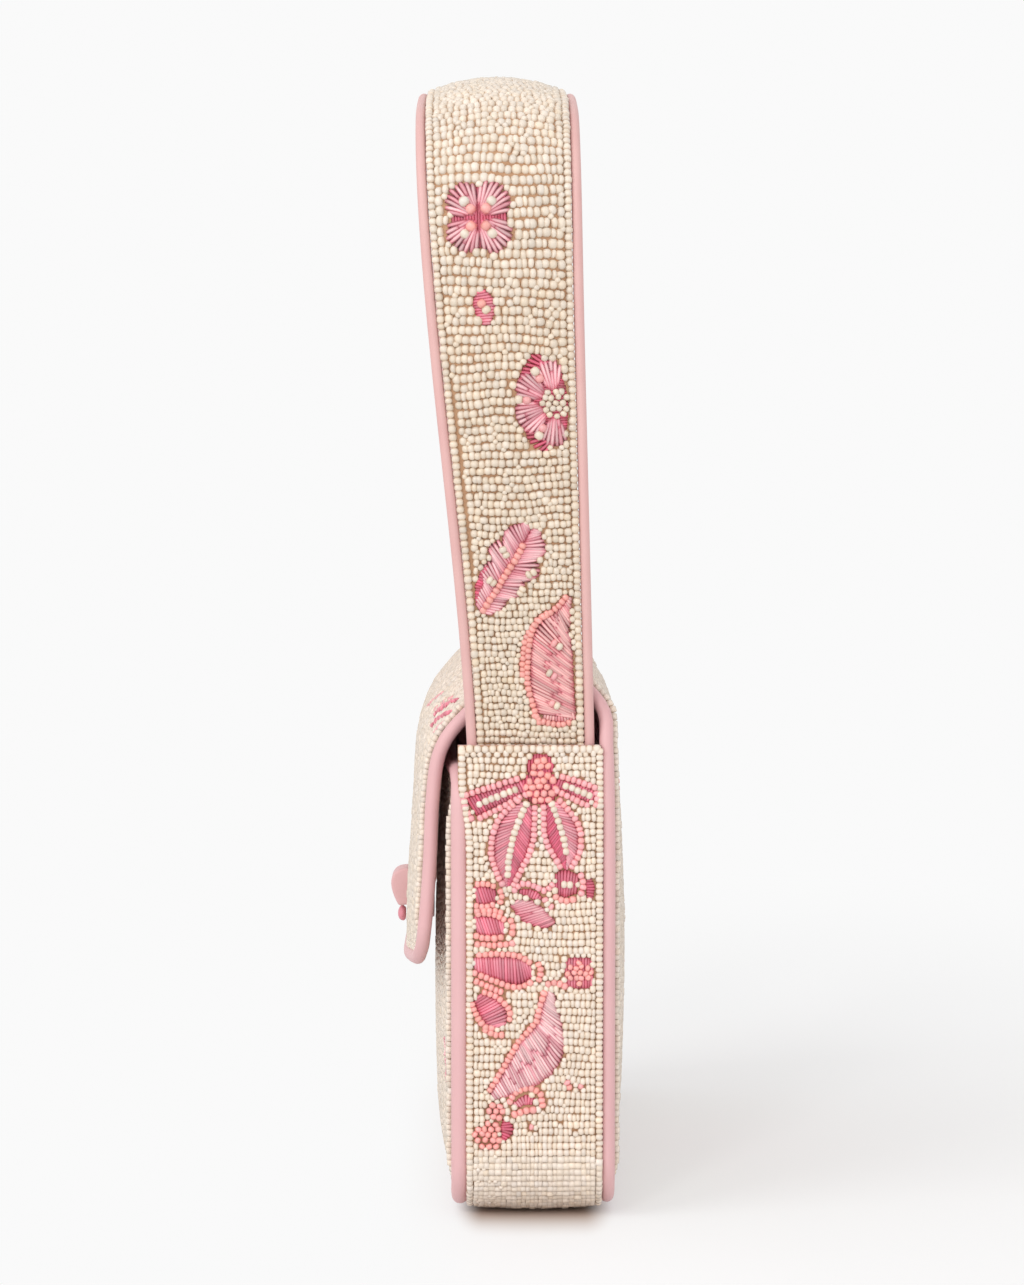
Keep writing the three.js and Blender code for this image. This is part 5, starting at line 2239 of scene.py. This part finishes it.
@dataclass
class Studio:
    """The pale floor, the soft light and the camera."""

    camera_at: Triple = (1215.0, -11.8, 247.6)
    pitch: float = math.radians(3.43)
    yaw: float = math.radians(0.27)
    focal_pixels: float = 3548.0
    photo_height: float = 1285.0
    sensor: float = 36.0
    sky: float = 0.955
    floor_radius: float = 30000.0
    aim: Triple = (0.0, 0.0, 0.18)
    farthest: float = 100.0

    def build(self) -> None:
        """Set the scene."""
        scene = bpy.context.scene
        scene.view_settings.view_transform = "Standard"
        world = bpy.data.worlds.new("soft_sky")
        world.use_nodes = True
        sockets = world.node_tree.nodes["Background"].inputs
        sockets["Color"].default_value = (1, 1, 1, 1)
        sockets["Strength"].default_value = self.sky
        scene.world = world
        self._floor()
        for light in LIGHTS:
            self._light(*light)
        self._camera()

    def _floor(self) -> None:
        """Lay the floor."""
        shape = bmesh.new()
        bmesh.ops.create_circle(shape, cap_ends=True, segments=64, radius=self.floor_radius)
        mesh = mesh_from(shape, "floor")
        mesh.materials.append(FloorFinish(self.sky).material())
        floor = bpy.data.objects.new("floor", mesh)
        bpy.context.scene.collection.objects.link(floor)

    def _light(self, name: str, at: Triple, size: float, power: float) -> None:
        """Hang a soft square light that faces the bag.

        Args:
            name: Its name.
            at: Its place in metres.
            size: Its side in metres.
            power: Its power in watts.
        """
        lamp = bpy.data.lights.new(name, "AREA")
        lamp.shape = "SQUARE"
        lamp.size = size
        lamp.energy = power
        light = bpy.data.objects.new(name, lamp)
        light.location = at
        aim = Vector(self.aim) - Vector(at)
        light.rotation_euler = aim.to_track_quat("-Z", "Y").to_euler()
        bpy.context.scene.collection.objects.link(light)

    def _camera(self) -> None:
        """Put the camera where the photograph was taken from."""
        lens = bpy.data.cameras.new("camera")
        lens.sensor_fit = "VERTICAL"
        lens.sensor_height = self.sensor
        lens.lens = self.focal_pixels / self.photo_height * self.sensor
        lens.clip_end = self.farthest
        camera = bpy.data.objects.new("camera", lens)
        camera.location = Vector(self.camera_at) * MM
        level = math.cos(self.pitch)
        aim = Vector((-level * math.cos(self.yaw), level * math.sin(self.yaw), -math.sin(self.pitch)))
        camera.rotation_euler = aim.to_track_quat("-Z", "Y").to_euler()
        bpy.context.scene.collection.objects.link(camera)
        bpy.context.scene.camera = camera


# Sections of the panels' piped edges. The front's rows hold z and how far the middle swells, and the
# rows of the back and the flap hold y before them.
SEAM_Y = 23.55
PANEL_HALF = 109.05
FOOT_CORNER = 12.05
FRONT_SECTIONS = ((5.95, 0.0), (16.0, 5.4), (40.0, 7.0), (80.0, 7.2), (112.0, 6.2), (138.0, 4.5))
WRAP_SECTIONS = (
    (SEAM_Y, 5.95, 0.0), (SEAM_Y, 26.0, 5.2), (SEAM_Y, 75.0, 6.9), (SEAM_Y, 118.0, 5.6),
    (SEAM_Y - 0.6, 147.0, 3.8), (21.4, 161.0, 2.6), (8.0, 171.5, 4.5), (-9.0, 167.5, 10.5),
    (-22.8, 156.2, 10.0), (-29.4, 146.0, 7.4), (-31.6, 131.0, 6.4), (-32.4, 113.0, 6.7),
    (-33.8, 94.0, 6.5), (-36.4, 73.0, 4.2),
)


def make_front(finishes: Finishes) -> Panel:
    """Plan the front panel.

    Args:
        finishes: The materials.

    Returns:
        The panel, ready to build.
    """
    rows = [(-SEAM_Y, z, puff) for z, puff in FRONT_SECTIONS]
    sheet = SwollenSheet(rows, way=1, facing=-1, half=PANEL_HALF, foot_corner=FOOT_CORNER, head_corner=8.0)
    sprays = (
        Spray(PANEL_FLOWER, (-44.0, 50.0), 0.0, 0.85),
        Spray(FRONT_BUDS, (90.0, 34.0)),
        Spray(FRONT_BUDS, (-90.0, 34.0), 180.0),
        Spray(PANEL_STAR, (-8.0, 86.0), 0.0, 0.9),
        Spray(PANEL_STAR, (-66.0, 20.0), 0.0, 0.8),
    )
    stretches = ((-1.0, sheet.end + 1, "front"),)
    return Panel(finishes, sheet, "front_panel", "front_piping", sprays, stretches, grid=(36, 60), seed=31,
                 piping_radius=2.65, piping_sink=0.5)


def make_wrap(finishes: Finishes) -> Panel:
    """Plan the back panel and the flap.

    Args:
        finishes: The materials.

    Returns:
        The panel, ready to build.
    """
    sheet = WrapSheet(WRAP_SECTIONS, way=-1, facing=1, half=PANEL_HALF, foot_corner=FOOT_CORNER,
                      head_corner=10.0)
    flap = sheet.flap_start
    sprays = (
        Spray(PANEL_FLOWER, (2.0, 98.0), 0.0, 1.25),
        Spray(PANEL_LEAF, (-18.0, 44.0), 16.0, 1.2),
        Spray(PANEL_LEAF, (24.0, 40.0), -10.0, 1.2),
        Spray(PANEL_STAR, (-31.0, 126.0)),
        Spray(PANEL_STAR, (33.0, 122.0)),
        Spray(PANEL_STAR, (2.0, 18.0)),
        Spray(LOW_BUDS, (-99.0, 152.0)),
        Spray(LOW_BUDS, (99.0, 152.0), 180.0),
        Spray(LOW_BUDS, (-103.0, 120.0), 180.0, 0.6),
        Spray(LOW_BUDS, (103.0, 120.0), 0.0, 0.6),
        Spray(PANEL_FLOWER, (50.0, flap + 74.0), 180.0, 0.7),
        Spray(PANEL_STAR, (80.0, flap + 72.0), 0.0, 0.8),
        Spray(SHOULDER_PETALS, (-60.0, flap + 42.0)),
        Spray(SHOULDER_PETALS, (60.0, flap + 42.0), 180.0),
    )
    stretches = ((-1.0, flap, "back"), (flap, sheet.end + 1, "flap"))
    return Panel(finishes, sheet, "back_flap", "back_flap_piping", sprays, stretches, grid=(36, 130), seed=47)


def main() -> None:
    """Build the bag and the studio."""
    logging.basicConfig(level=logging.INFO, format="%(name)s: %(message)s")
    Studio().build()
    finishes = Finishes()
    Gusset(finishes).build()
    Strap(finishes).build()
    make_front(finishes).build()
    wrap = make_wrap(finishes)
    wrap.build()
    Clasp(finishes, wrap.sheet).build()


if __name__ == "__main__":
    main()
